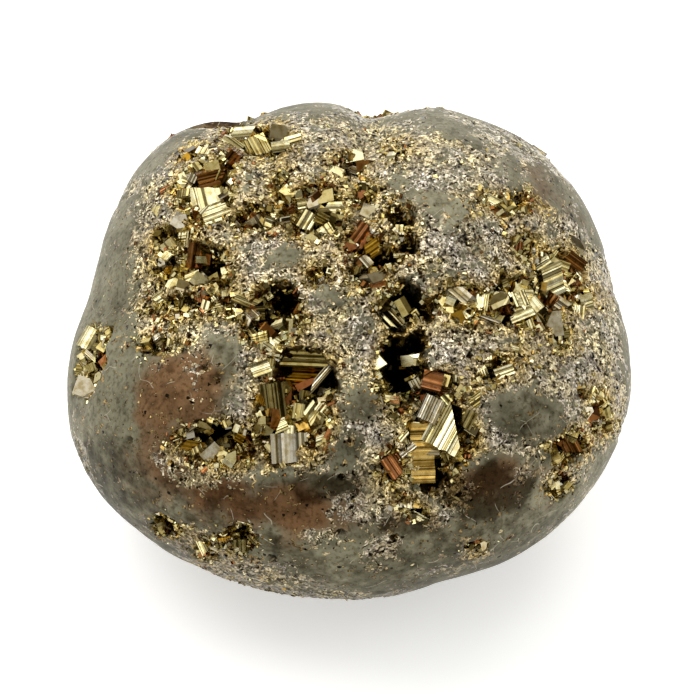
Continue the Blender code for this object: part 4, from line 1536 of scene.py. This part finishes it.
def random_turns(draw: np.random.Generator, count: int) -> Array:
    """Turns crystals evenly over every way that they can lie.

    Args:
        draw: The source of chance.
        count: How many turns are wanted.

    Returns:
        A turn matrix for each.
    """
    q = draw.normal(size=(count, 4))
    w, x, y, z = unit(q).T
    rows = (
        (1 - 2 * (y * y + z * z), 2 * (x * y - z * w), 2 * (x * z + y * w)),
        (2 * (x * y + z * w), 1 - 2 * (x * x + z * z), 2 * (y * z - x * w)),
        (2 * (x * z - y * w), 2 * (y * z + x * w), 1 - 2 * (x * x + y * y)),
    )
    return np.array(rows).transpose(2, 0, 1)


def coated_and_shaded(tints: Array, depth: Array) -> Array:
    """Browns crystals that lie deep in a pit, where iron oxide has coated them, and darkens them with painted
    shade.

    Args:
        tints: A linear colour for each crystal.
        depth: How far below the stone's surface each lies, in millimetres.

    Returns:
        The new colours.
    """
    depth = np.clip(depth, 0.0, 5.0)[:, None]
    # Painted shade: the deeper a crystal lies, the darker it is painted.
    darker = np.exp(-0.08 * depth * (0.6 + depth))
    coated = tints.copy()
    # The browning is partly the oxide coat and partly a painted reflection, the brown that light takes
    # bouncing between crystals.
    coated[:, :3] = np.clip(tints[:, :3], 0.0, 1.0) ** (1.0 + 0.26 * depth) * darker
    return coated


@dataclass
class Druse:
    """The crust of small crystals in the open areas, with a few beside them."""

    relief: SkinRelief
    finish: bpy.types.Material
    large: "PitCrystals"
    seed: int = 23
    near_count: int = 10800
    far_count: int = 8000
    proud: float = 0.04
    palette: tuple = (
        (Tint.CREAM, 0.24), (Tint.BRASS, 0.22), (Tint.SILVER, 0.14), (Tint.STRAW, 0.16),
        (Tint.OLIVE_SHADED, 0.10), (Tint.BROWN, 0.07), (Tint.COPPER, 0.03), (Tint.GOLD, 0.04),
    )

    def shapes(self) -> list[tuple[Shape, float]]:
        """Models the crust's crystals.

        Returns:
            Their shapes, and what share of the crust each makes up.
        """
        maker = ShapeMaker()
        return [
            (maker.block((1.0, 1.0, 1.0)), 0.16),
            (maker.block((1.0, 0.9, 0.95), ((1, 1, 1),)), 0.18),
            (maker.block((1.20, 1.0, 0.30), ((1, -1, 1),)), 0.26),
            (maker.block((2.10, 0.50, 0.34)), 0.30),
            (maker.pyritohedron(), 0.04),
            (maker.stepped(), 0.06),
        ]

    def scatter(self, skin: bpy.types.Mesh, near: bool, count: int, draw: np.random.Generator) -> tuple:
        """Chooses places on the skin, most of them in its open areas.

        Args:
            skin: The skin's mesh.
            near: Whether the places are on the side that faces the camera.
            count: How many places are wanted.
            draw: The source of chance.

        Returns:
            The places, the skin's outward direction there, and how far inside a vug each is.
        """
        form = self.relief.form
        points = (points_of(skin) - form.middle) / MM
        corners = corners_of(skin)
        a, b, c = (points[corners[:, i]] for i in range(3))
        cross = np.cross(b - a, c - a)
        area = lengths(cross)
        values = {}
        for name in ("vug", "polish", "hollow"):
            layer = np.empty(len(points), dtype=np.float32)
            skin.attributes[name].data.foreach_get("value", layer)
            values[name] = layer[corners].mean(axis=1)
        side = smoothstep(-3.0, -1.5, ((a + b + c) / 3.0) @ form.towards)
        side = side if near else 1.0 - side
        wanted = (
            0.55 * self.relief.open_share(values["vug"])
            + 0.45 * smoothstep(-0.9, 0.0, values["vug"])
            + 0.05 * (1.0 - smoothstep(-0.9, -0.2, values["polish"]))
        )
        above = ((a + b + c) / 3.0)[:, 2] > -0.93 * form.half_height
        bare = 0.85 * smoothstep(0.7, 1.5, values["hollow"])
        weight = area * wanted * side * above * (1.0 - bare)
        chosen = draw.choice(len(weight), size=count, p=weight / weight.sum())
        u, v = draw.random((2, count))
        over = u + v > 1.0
        u, v = np.where(over, 1.0 - u, u), np.where(over, 1.0 - v, v)
        places = a[chosen] + u[:, None] * (b - a)[chosen] + v[:, None] * (c - a)[chosen]
        return places, cross[chosen] / area[chosen][:, None], values["vug"][chosen]

    def tints(self, count: int, draw: np.random.Generator) -> Array:
        """Draws colours from the palette and varies them a little.

        Args:
            count: How many colours are wanted.
            draw: The source of chance.

        Returns:
            A linear colour for each crystal.
        """
        colours = np.array([linear(tint.value) for tint, _ in self.palette])
        shares = np.array([share for _, share in self.palette])
        picked = colours[draw.choice(len(colours), size=count, p=shares / shares.sum())]
        picked[:, :3] *= draw.uniform(0.66, 1.22, (count, 1))
        return np.clip(picked, 0.0, 1.0)

    def build_side(self, skin: bpy.types.Mesh, name: str, near: bool, count: int) -> bpy.types.Object:
        """Builds the crust of one side.

        Args:
            skin: The skin's mesh.
            name: The piece's name.
            near: Whether it is the side that faces the camera.
            count: How many crystals it has.

        Returns:
            The piece.
        """
        form = self.relief.form
        draw = np.random.default_rng(self.seed + near)
        places, outward, inside_vug = self.scatter(skin, near, count, draw)
        room = 0.5 * smoothstep(-0.7, -0.1, inside_vug) + 1.5 * smoothstep(-0.1, 0.3, inside_vug)
        size = draw.uniform(0.16, 0.34, count) * (1.0 + room * draw.random(count) ** 1.3)
        if not near:
            size *= 1.25
        places = places + outward * (size * draw.uniform(-0.10, 0.30, count))[:, None]
        reach = lengths(places)
        directions = places / reach[:, None]
        level = form.level_radius(directions)
        half = size * (0.62 + 0.5 * form.edge_share(directions, 0.80, 0.95))
        places -= directions * np.maximum(reach + half - level - self.proud, 0.0)[:, None]
        depth = level - lengths(places) - 0.5 * size
        fit = (places[:, 2] + form.middle[2] / MM > 1.12 * size) & ~self.large.covers(places, -0.12)
        tints = coated_and_shaded(self.tints(count, draw), depth)
        turns = random_turns(draw, count)
        copies = Copies(name)
        shapes = self.shapes()
        kinds = draw.choice(len(shapes), size=count, p=np.array([share for _, share in shapes]))
        for kind, (shape, _) in enumerate(shapes):
            mine = (kinds == kind) & fit
            copies.add(
                shape, turns[mine], places[mine], np.repeat(size[mine][:, None], 3, axis=1), tints[mine],
                draw.choice((1.0, 0.1), size=mine.sum()), draw.uniform(0, 50, mine.sum()),
            )
        return copies.build(form.middle, self.finish)

    def build(self, skin: bpy.types.Object) -> list[bpy.types.Object]:
        """Builds the crust on the near and the far side.

        Args:
            skin: The stone's skin.

        Returns:
            The two pieces.
        """
        return [
            self.build_side(skin.data, "druse_near", True, self.near_count),
            self.build_side(skin.data, "druse_far", False, self.far_count),
        ]


@dataclass
class PitCrystals:
    """The larger crystals with raised growth lines, in and around the pits."""

    relief: SkinRelief
    finish: bpy.types.Material
    seed: int = 31
    seeded: int = 940
    gap: float = 0.66
    proud: float = 0.10
    root: float = 0.42
    crystals: tuple = (
        Crystal(-10.2, 10.8, 1.9, 2.8, 2.0, 104, -14, -6, Tint.CREAM, 0.0, Habit.SLANTED),
        Crystal(-9.3, 9.6, 2.5, 1.4, 1.6, 22, -16, 4, Tint.CREAM, 0.0, Habit.CUT),
        Crystal(-9.9, 12.3, 2.0, 1.1, 1.3, 12, 16, 8, Tint.BROWN),
        Crystal(-13.1, 11.2, 0.8, 0.7, 0.8, 30, 5, 0, Tint.COPPER, 0.0, Habit.SLANTED),
        Crystal(-6.4, 14.2, 2.1, 1.6, 1.4, -62, -8, -8, Tint.STRAW, 0.6, Habit.CUT),
        Crystal(-4.9, 15.3, 1.7, 1.2, 1.2, -8, -8, 8, Tint.SILVER, 0.6, Habit.PLAIN),
        Crystal(-4.9, 14.3, 1.3, 0.8, 1.0, 8, -12, 0, Tint.CREAM, 0.4),
        Crystal(-7.7, 15.3, 1.5, 1.0, 1.0, 5, -14, 0, Tint.CREAM, 0.5, Habit.SLANTED),
        Crystal(-8.3, 14.6, 1.6, 0.7, 0.8, -38, -18, 0, Tint.CREAM, 0.5, Habit.CUT),
        Crystal(-8.5, 13.3, 2.0, 0.9, 1.2, 54, 12, -10, Tint.BROWN),
        Crystal(-12.0, 9.0, 1.2, 1.2, 1.1, -32, -8, 10, Tint.SILVER, 0.2, Habit.FACETED),
        Crystal(-12.0, 7.7, 2.4, 0.5, 0.9, 20, -14, 0, Tint.STRAW, 0.0, Habit.SLANTED),
        Crystal(-10.8, 6.6, 2.3, 1.5, 1.4, 82, 16, 8, Tint.BROWN, 0.0, Habit.CUT),
        Crystal(-13.0, 3.9, 1.9, 0.7, 0.9, 35, -14, 0, Tint.CREAM, 0.3),
        Crystal(-10.0, 4.8, 1.4, 0.9, 1.0, 50, -16, 10, Tint.SILVER, 0.0, Habit.SLANTED),
        Crystal(-8.1, 2.9, 1.1, 0.5, 0.8, -58, -16, 0, Tint.CREAM, 0.0, Habit.CUT),
        Crystal(-9.4, 3.0, 1.4, 0.6, 0.9, 12, -14, 8, Tint.CREAM),
        Crystal(-7.2, 3.5, 1.6, 1.0, 1.0, -22, -4, 0, Tint.STRAW, 0.0, Habit.SLANTED),
        Crystal(-5.9, 2.3, 1.5, 1.0, 1.0, 3, 8, 0, Tint.OLIVE_SHADED, 0.0, Habit.CUT),
        Crystal(-3.2, -0.4, 3.5, 1.5, 1.6, -2, 4, -6, Tint.STRAW),
        Crystal(-3.2, -1.7, 3.3, 1.4, 1.6, -3, 8, 0, Tint.AMBER, 0.0, Habit.SLANTED),
        Crystal(-5.1, -1.1, 1.3, 0.6, 0.8, 82, 0, 0, Tint.STRAW, 0.0, Habit.CUT),
        Crystal(-6.3, -1.4, 1.4, 1.0, 1.0, 22, -15, 8, Tint.CREAM, 0.5),
        Crystal(-1.8, -1.7, 2.8, 0.5, 0.8, 50, -14, 0, Tint.SILVER, 0.9, Habit.SLANTED),
        Crystal(-3.1, -2.4, 1.5, 0.5, 0.8, 30, -8, 0, Tint.COPPER, 0.8, Habit.PLAIN),
        Crystal(-5.3, -3.5, 2.7, 1.7, 1.8, 97, 10, -4, Tint.OLIVE_SHADED, 0.0, Habit.CUT),
        Crystal(-4.3, -3.5, 1.4, 0.4, 0.8, 72, -6, 0, Tint.COPPER, 0.6, Habit.FACETED),
        Crystal(-3.6, -4.3, 1.1, 0.8, 0.8, 82, -6, 0, Tint.STRAW),
        Crystal(-2.7, -4.5, 1.2, 1.0, 0.9, 55, -16, 6, Tint.CREAM, 0.0, Habit.SLANTED),
        Crystal(-2.0, -5.2, 0.6, 0.5, 0.5, 80, -5, 0, Tint.COPPER, 0.0, Habit.CUT),
        Crystal(-1.5, -5.8, 0.9, 0.4, 0.6, 65, -5, 0, Tint.COPPER),
        Crystal(-2.0, -6.2, 0.7, 0.7, 0.6, 20, -16, 0, Tint.CREAM, 0.0, Habit.SLANTED),
        Crystal(-4.9, -5.4, 1.1, 0.9, 0.9, 205, -16, 0, Tint.CREAM, 0.4, Habit.POINTED),
        Crystal(-4.1, -5.6, 0.9, 0.8, 0.8, 85, -10, 0, Tint.CREAM, 0.0, Habit.CUT),
        Crystal(-4.3, -6.9, 2.1, 2.6, 2.0, 93, -4, 4, Tint.SILVER, 0.4),
        Crystal(2.9, 1.8, 2.9, 2.5, 2.0, -46, -5, -8, Tint.CREAM, 0.5, Habit.SLANTED),
        Crystal(1.9, 5.0, 1.5, 0.8, 1.2, 20, -14, 0, Tint.SILVER, 0.0, Habit.PLAIN),
        Crystal(1.9, 4.4, 1.4, 0.7, 1.2, 18, 6, 8, Tint.COPPER, 0.0, Habit.CUT),
        Crystal(0.8, 8.1, 1.7, 1.3, 1.2, 54, 0, -4, Tint.COPPER, 0.3),
        Crystal(1.6, 7.1, 1.2, 1.1, 1.0, 35, 4, 0, Tint.AMBER, 0.3, Habit.SLANTED),
        Crystal(-0.1, 7.2, 1.1, 0.6, 0.7, -12, -6, 0, Tint.COPPER, 0.3, Habit.FACETED),
        Crystal(1.1, 5.9, 0.9, 0.6, 0.8, -50, -12, 0, Tint.SILVER, 0.0, Habit.CUT),
        Crystal(3.2, 6.1, 0.8, 0.3, 0.6, 3, -16, 0, Tint.CREAM),
        Crystal(0.9, 10.7, 1.4, 1.1, 0.9, -8, 0, 0, Tint.COPPER, 0.2, Habit.PLAIN),
        Crystal(1.5, 9.6, 1.6, 1.0, 1.0, -22, -10, 8, Tint.SILVER, 0.2, Habit.FACETED),
        Crystal(0.2, 12.5, 1.4, 0.9, 0.8, 12, -15, 0, Tint.CREAM, 0.1, Habit.PLAIN),
        Crystal(-2.5, 10.4, 1.3, 1.0, 0.9, 20, -10, 8, Tint.SILVER, 0.2, Habit.FACETED),
        Crystal(-1.0, 10.3, 1.7, 0.9, 1.0, 2, -16, 0, Tint.CREAM, 0.2, Habit.SLANTED),
        Crystal(-1.6, 9.3, 1.8, 1.2, 1.2, -30, 12, 6, Tint.OLIVE_SHADED, 0.0, Habit.CUT),
        Crystal(-3.1, 9.0, 1.4, 1.2, 1.1, 60, -12, 8, Tint.CREAM),
        Crystal(-4.0, 9.9, 1.9, 0.8, 1.0, 32, 4, 0, Tint.BROWN, 0.0, Habit.SLANTED),
        Crystal(5.7, -2.2, 1.4, 1.4, 1.2, -14, -4, 6, Tint.COPPER, 1.0, Habit.CUT),
        Crystal(5.6, -4.2, 1.8, 1.5, 1.3, 66, -8, 4, Tint.SILVER, 0.2),
        Crystal(7.1, -5.4, 3.9, 2.7, 2.2, 62, -13, -4, Tint.CREAM, 0.6, Habit.POINTED),
        Crystal(8.4, -3.8, 1.6, 0.9, 1.2, 35, 0, 6, Tint.STRAW, 0.0, Habit.SLANTED),
        Crystal(8.2, -4.8, 1.3, 0.9, 1.0, 62, 6, 8, Tint.OLIVE_SHADED, 0.0, Habit.CUT),
        Crystal(5.0, -7.2, 1.7, 4.3, 1.8, 2, -3, 4, Tint.GOLD, 0.6),
        Crystal(3.6, -5.8, 0.9, 0.9, 0.8, 50, -15, 0, Tint.CREAM, 0.0, Habit.SLANTED),
        Crystal(3.9, -6.9, 1.3, 0.8, 0.9, 38, -12, 0, Tint.SILVER, 0.0, Habit.CUT),
        Crystal(3.0, -8.1, 1.7, 1.3, 1.2, -56, -4, 6, Tint.COPPER),
        Crystal(4.5, -11.3, 1.2, 0.5, 0.7, -30, -14, 0, Tint.CREAM, 0.0, Habit.SLANTED),
        Crystal(6.8, 3.1, 1.6, 0.8, 0.9, -58, -15, 0, Tint.CREAM, 0.2, Habit.PLAIN),
        Crystal(7.7, 3.9, 1.6, 0.9, 1.0, -42, -12, 0, Tint.SILVER, 0.0, Habit.CUT),
        Crystal(9.2, 3.3, 1.3, 0.9, 1.0, 82, -14, 6, Tint.CREAM),
        Crystal(10.4, 3.5, 1.4, 1.1, 1.2, 25, -9, 4, Tint.BRASS, 0.2, Habit.FACETED),
        Crystal(10.8, 2.3, 1.5, 1.2, 1.0, 60, -7, 6, Tint.BRASS, 0.2, Habit.PLAIN),
        Crystal(9.5, 1.9, 1.4, 1.0, 1.0, -20, 2, 4, Tint.SILVER, 0.0, Habit.SLANTED),
        Crystal(12.0, 2.4, 1.8, 0.8, 1.0, 24, -18, 4, Tint.CREAM, 0.0, Habit.CUT),
        Crystal(11.4, 3.2, 0.6, 0.5, 0.6, 30, -14, 0, Tint.SILVER),
        Crystal(13.2, 1.7, 1.7, 0.6, 0.9, -60, -10, 4, Tint.SILVER, 0.0, Habit.SLANTED),
        Crystal(13.5, 1.9, 1.8, 0.6, 1.0, -62, 6, 8, Tint.OLIVE_SHADED, 0.0, Habit.CUT),
        Crystal(14.4, 1.8, 1.8, 1.1, 1.0, 98, -6, 0, Tint.SILVER, 0.2, Habit.FACETED),
        Crystal(13.5, 6.1, 1.6, 0.8, 1.0, 32, -10, 4, Tint.CREAM),
        Crystal(14.3, 4.8, 1.5, 2.2, 1.4, 25, -11, 4, Tint.CREAM, 0.3, Habit.SLANTED),
        Crystal(15.4, 6.4, 2.6, 1.3, 1.2, -36, -4, 4, Tint.BROWN, 0.4, Habit.CUT),
        Crystal(16.0, 7.4, 1.4, 0.9, 1.0, -30, -6, 4, Tint.SILVER, 0.4, Habit.PLAIN),
        Crystal(14.9, 5.8, 1.1, 0.9, 1.0, -20, -10, 4, Tint.STRAW),
        Crystal(14.6, 3.2, 1.2, 1.1, 1.0, -35, -8, 4, Tint.SILVER, 0.0, Habit.SLANTED),
        Crystal(16.1, 2.6, 1.0, 0.9, 0.9, 85, -14, 0, Tint.CREAM, 0.0, Habit.CUT),
        Crystal(12.8, 7.7, 1.2, 1.0, 1.0, 70, -2, 6, Tint.OLIVE_SHADED),
        Crystal(11.8, 7.2, 1.3, 0.7, 0.8, 85, -2, 4, Tint.COPPER, 0.0, Habit.SLANTED),
        Crystal(12.1, 6.0, 1.1, 0.7, 0.8, -20, -16, 0, Tint.CREAM, 0.0, Habit.CUT),
        Crystal(12.0, 10.8, 0.6, 0.6, 0.5, 0, -16, 0, Tint.CREAM),
        Crystal(9.9, 10.5, 1.2, 0.7, 0.8, -30, -16, 0, Tint.CREAM, 0.0, Habit.SLANTED),
        Crystal(11.2, -0.1, 1.2, 0.7, 0.8, -15, -14, 0, Tint.CREAM, 0.0, Habit.CUT),
        Crystal(10.8, -1.6, 1.4, 0.8, 1.0, 20, -12, 0, Tint.CREAM),
        Crystal(15.3, -6.4, 1.6, 1.2, 1.2, -62, 6, 6, Tint.BROWN, 0.0, Habit.SLANTED),
        Crystal(18.0, -5.5, 1.2, 1.0, 1.0, 20, -8, -10, Tint.STRAW, 0.0, Habit.CUT),
        Crystal(-18.3, 0.7, 1.6, 1.4, 1.0, 60, -8, -10, Tint.CREAM, 0.5),
        Crystal(-17.4, -0.8, 1.6, 1.2, 1.0, 40, -4, -8, Tint.COPPER, 0.5, Habit.FACETED),
        Crystal(-18.6, -2.7, 1.6, 1.4, 1.0, -20, -8, -12, Tint.SILVER, 0.5, Habit.PLAIN),
        Crystal(-10.0, -6.5, 2.4, 1.6, 1.5, -10, 10, 0, Tint.AMBER, -0.3, Habit.SLANTED),
        Crystal(-7.3, -7.0, 1.5, 0.6, 0.8, -30, -14, 0, Tint.CREAM, 0.0, Habit.CUT),
        Crystal(-8.7, -7.2, 1.0, 0.3, 0.5, 42, -6, 0, Tint.COPPER),
        Crystal(-13.4, 9.8, 1.0, 0.9, 0.8, 30, -16, 0, Tint.CREAM, 0.1, Habit.FACETED),
        Crystal(-10.8, 4.7, 1.1, 0.9, 0.9, 25, -16, 0, Tint.CREAM, 0.2, Habit.SLANTED),
        Crystal(-11.6, 4.4, 1.2, 0.8, 0.9, -15, -14, 0, Tint.SILVER, 0.2, Habit.PLAIN),
        Crystal(-1.1, 12.2, 1.3, 1.2, 1.0, 80, -16, 0, Tint.CREAM, 0.1, Habit.FACETED),
        Crystal(-12.5, 4.6, 0.9, 0.7, 0.8, 60, -16, 0, Tint.CREAM, 0.1, Habit.PLAIN),
    )

    def shapes(self) -> list[Shape]:
        """Models a crystal of each habit.

        Returns:
            Their shapes, in the order of the habits.
        """
        maker = ShapeMaker()
        return [
            maker.block((1.0, 1.0, 1.0), (), 13),
            maker.block((1.0, 1.0, 1.0), (), 12, 0.40),
            maker.block((1.0, 1.0, 0.9), ((-1, 1, 1),), 14),
            maker.block((1.0, 1.0, 0.9), ((1, 1, 1), (1, -1, 1)), 10, -0.20),
            maker.block((1.0, 1.0, 0.9), ((1, 1, 1),)),
            maker.block((1.0, 1.0, 1.0), ((1, 1, 1), (-1, 1, 1), (1, -1, 1))),
            maker.pointed(12),
        ]

    def covers(self, points: Array, margin: float) -> Array:
        """Tells which points are seen on a listed crystal.

        Args:
            points: The points, in millimetres from the stone's middle.
            margin: How far beyond the crystal's sides still counts, in millimetres.

        Returns:
            True for each point that is.
        """
        form = self.relief.form
        seen = np.stack((points @ form.right, points @ form.up), axis=1)
        covered = np.zeros(len(points), bool)
        for crystal in self.crystals:
            angle = math.radians(crystal.turn)
            x, y = (seen - (crystal.x, crystal.y)).T
            across = np.abs(x * math.cos(angle) + y * math.sin(angle)) < crystal.width / 2 + margin
            along = np.abs(y * math.cos(angle) - x * math.sin(angle)) < crystal.height / 2 + margin
            covered |= across & along
        return covered & (points @ form.towards > 0.0)

    def seat(self, points: Array, turns: Array, sizes: Array, lift: Array) -> tuple[Array, Array]:
        """Sinks crystals so that they are rooted and no prouder than the stone's surface.

        Args:
            points: Points near the surface that the crystals are at.
            turns: A turn matrix for each crystal.
            sizes: Three sides for each crystal.
            lift: How much each is raised from there.

        Returns:
            The crystals' centres, and how far below the surface each one's top lies.
        """
        reach = lengths(points)
        out = points / reach[:, None]
        surface = self.relief.read(out)
        half = np.abs(np.einsum("nij,ni->nj", turns, out) * sizes).sum(axis=1) / 2.0
        rooted = surface.radius + half * (1.0 - 2.0 * self.root)
        radius = np.minimum(rooted, surface.level + self.proud - half) + lift
        return out * radius[:, None], surface.level - radius - half

    def listed(self) -> tuple[Array, Array, Array, Array]:
        """Places the crystals that are seen best.

        Returns:
            Their centres, turns, sizes and colours.
        """
        form = self.relief.form
        view = Matrix((Vector(form.right), Vector(form.up), Vector(form.towards))).transposed()
        turns = []
        for crystal in self.crystals:
            turned = view
            for angle, axis in ((crystal.pitch, "X"), (crystal.yaw, "Y"), (crystal.turn, "Z")):
                turned = turned @ Matrix.Rotation(math.radians(angle), 3, axis)
            turns.append(np.array(turned))
        turns = np.array(turns)
        sizes = np.array([(c.width, c.height, c.length) for c in self.crystals])
        wanted = np.array([(c.x, c.y) for c in self.crystals])
        lift = np.array([c.lift for c in self.crystals])
        aim = wanted.copy()
        for _ in range(4):
            places, depth = self.seat(form.near_points(*aim.T), turns, sizes, lift)
            seen = np.stack((places @ form.right, places @ form.up), axis=1)
            aim = np.clip(aim + wanted - seen, -0.97 * form.half_width, 0.97 * form.half_width)
        tints = np.array([linear(c.tint.value) for c in self.crystals])
        return places, turns, sizes, coated_and_shaded(tints, 0.4 * depth)

    def scattered(self) -> tuple[Array, Array, Array, Array]:
        """Scatters the crystals that fill the open areas between.

        Returns:
            Their centres, turns, sizes and colours.
        """
        form = self.relief.form
        draw = np.random.default_rng(self.seed)
        ways = draw.normal(size=(self.seeded * 60, 3))
        ways = unit(ways)
        points = ways * form.pebble_radius(ways)[:, None]
        fit = (self.relief.vug_depth(points) > 0.05) & (points[:, 2] > -form.lowest * form.half_height)
        fit &= (self.relief.pit_depth(points) < 0.9) & ~self.covers(points, 0.15)
        kept = []
        for point in points[fit]:
            if all(np.linalg.norm(point - other) > self.gap for other in kept):
                kept.append(point)
            if len(kept) == self.seeded:
                break
        count = len(kept)
        sizes = draw.uniform(0.65, 1.60, (count, 1)) * draw.uniform(0.40, 1.0, (count, 3))
        colours = np.array([linear(t.value) for t in Tint])
        shares = (0.26, 0.18, 0.13, 0.14, 0.09, 0.07, 0.04, 0.05, 0.04)
        tints = colours[draw.choice(len(colours), size=count, p=shares)]
        turns = random_turns(draw, count)
        lift = np.clip(draw.uniform(-0.1, 0.5, count), 0.0, None)
        places, depth = self.seat(np.array(kept), turns, sizes, lift)
        room = np.maximum(-depth - 0.10, 0.0)
        places -= unit(places) * room[:, None]
        low = places[:, 2] - np.abs(turns[:, 2, :] * sizes).sum(axis=1) / 2.0
        above = low > -form.middle[2] / MM
        return places[above], turns[above], sizes[above], coated_and_shaded(tints, 0.8 * (depth + room))[above]

    def build(self) -> bpy.types.Object:
        """Builds all the larger crystals as one piece.

        Returns:
            The piece.
        """
        shapes = self.shapes()
        copies = Copies("pit_crystals")
        draw = np.random.default_rng(self.seed + 1)
        for seen, (places, turns, sizes, tints) in ((True, self.listed()), (False, self.scattered())):
            kinds = draw.integers(0, Habit.POINTED.value, len(places))
            if seen:
                kinds = np.array([crystal.habit.value for crystal in self.crystals])
            smooth = (kinds == Habit.PLAIN.value) | (kinds == Habit.FACETED.value)
            ruling = np.where(smooth, 0.12, 1.0)
            for kind, shape in enumerate(shapes):
                mine = kinds == kind
                copies.add(
                    shape, turns[mine], places[mine], sizes[mine], tints[mine], ruling[mine],
                    draw.uniform(0, 50, mine.sum()),
                )
        return copies.build(self.relief.form.middle, self.finish)


@dataclass(frozen=True)
class Softbox:
    """A square area light: where it is, its side and how bright its face is."""

    name: str
    place: tuple[float, float, float]
    side: float
    brightness: float
    colour: str = "FFFFFF"


@dataclass
class Studio:
    """The plain pale floor, the soft light and the camera."""

    form: StoneForm
    lens: float = 500.0
    sensor: float = 36.0
    seen_width: float = 49.9
    floor_colour: str = "F4F4F2"
    floor_glow: float = 0.42
    floor_half: float = 3.0
    room_brightness: float = 2.1
    brightest: tuple[float, float, float] = (0.0, 0.70, 0.71)
    card_scale: float = 2.2
    card_stops: Stops = ((0.38, "606060"), (0.62, "FFFFFF"))
    room_stops: Stops = (
        (0.0, "707070"), (0.16, "808080"), (0.48, "A4A4A4"), (0.60, "BCBCBA"), (0.84, "F0F0F0"),
        (1.0, "FFFFFF"),
    )
    softboxes: tuple = (
        Softbox("key_softbox", (-0.24, 0.06, 0.42), 0.22, 3.2),
        Softbox("fill_softbox", (0.34, -0.02, 0.32), 0.20, 2.0),
        Softbox("back_softbox", (0.06, 0.44, 0.26), 0.24, 2.4),
    )

    def build_floor(self) -> None:
        """Lays the floor under the stone."""
        start_fresh()
        bpy.ops.mesh.primitive_plane_add(size=2.0 * self.floor_half)
        floor = bpy.context.object
        floor.name = "floor"
        material = bpy.data.materials.new("matt_white_board")
        material.use_nodes = True
        surface = material.node_tree.nodes["Principled BSDF"].inputs
        for name, value in (
            ("Base Color", linear(self.floor_colour)), ("Roughness", 0.9), ("Specular IOR Level", 0.1),
            ("Emission Color", linear("FFFFFF")), ("Emission Strength", self.floor_glow),
        ):
            surface[name].default_value = value
        floor.data.materials.append(material)

    def build_world(self) -> None:
        """Lights the room: bright above and behind the stone, dim on the camera's side."""
        world = bpy.data.worlds.new("studio_room")
        bpy.context.scene.world = world
        world.use_nodes = True
        tree = world.node_tree
        way = add_node(tree, "TexCoord").outputs["Generated"]
        rise = add_node(tree, "VectorMath", {"operation": "DOT_PRODUCT"}, {0: way, 1: self.brightest})
        share = add_node(tree, "MapRange", inputs={"Value": rise, "From Min": -1.0, "From Max": 1.0})
        room = add_node(tree, "ValToRGB", inputs={"Fac": share}, stops=self.room_stops)
        # Soft-edged cards, a sixth of the room wide, give the crystals' faces something to mirror.
        cards = add_node(tree, "TexNoise", inputs={"Vector": way, "Scale": self.card_scale, "Detail": 0.0})
        background = tree.nodes["Background"].inputs
        connect(tree, lay_colours(tree, room, cards, self.card_stops), background["Color"])
        connect(tree, self.room_brightness, background["Strength"])

    def build_lights(self) -> None:
        """Hangs the softboxes, each turned to the stone."""
        for box in self.softboxes:
            lamp = bpy.data.lights.new(box.name, "AREA")
            lamp.size = box.side
            lamp.energy = box.brightness * math.pi * box.side * box.side
            lamp.color = linear(box.colour)[:3]
            holder = bpy.data.objects.new(box.name, lamp)
            holder.location = box.place
            aim = Vector(self.form.middle) - holder.location
            holder.rotation_euler = aim.to_track_quat("-Z", "Y").to_euler()
            bpy.context.scene.collection.objects.link(holder)

    def build_camera(self) -> None:
        """Sets the camera so that the stone spans the width that the photograph gives it."""
        lens = bpy.data.cameras.new("camera")
        lens.lens = self.lens
        lens.sensor_width = self.sensor
        lens.clip_end = 10.0
        distance = self.seen_width * MM * self.lens / self.sensor
        camera = bpy.data.objects.new("camera", lens)
        camera.location = Vector(self.form.middle + self.form.towards * distance)
        camera.rotation_euler = (math.pi / 2 - self.form.view_tilt, 0.0, 0.0)
        bpy.context.scene.collection.objects.link(camera)
        bpy.context.scene.camera = camera

    def build(self) -> None:
        """Builds the whole studio."""
        self.build_floor()
        self.build_world()
        self.build_lights()
        self.build_camera()
        bpy.context.scene.view_settings.view_transform = "Standard"
        LOG.info("studio: %d softboxes", len(self.softboxes))


def main() -> None:
    """Builds the stone and the studio in order."""
    logging.basicConfig(level=logging.INFO, format="%(message)s")
    form = StoneForm()
    relief = SkinRelief(form)
    Studio(form).build()
    skin = NoduleSkin(relief, WornPyrite()).build()
    crystal_finish = CrystalPyrite().make()
    large = PitCrystals(relief, crystal_finish)
    Druse(relief, crystal_finish, large).build(skin)
    large.build()


if __name__ == "__main__":
    main()
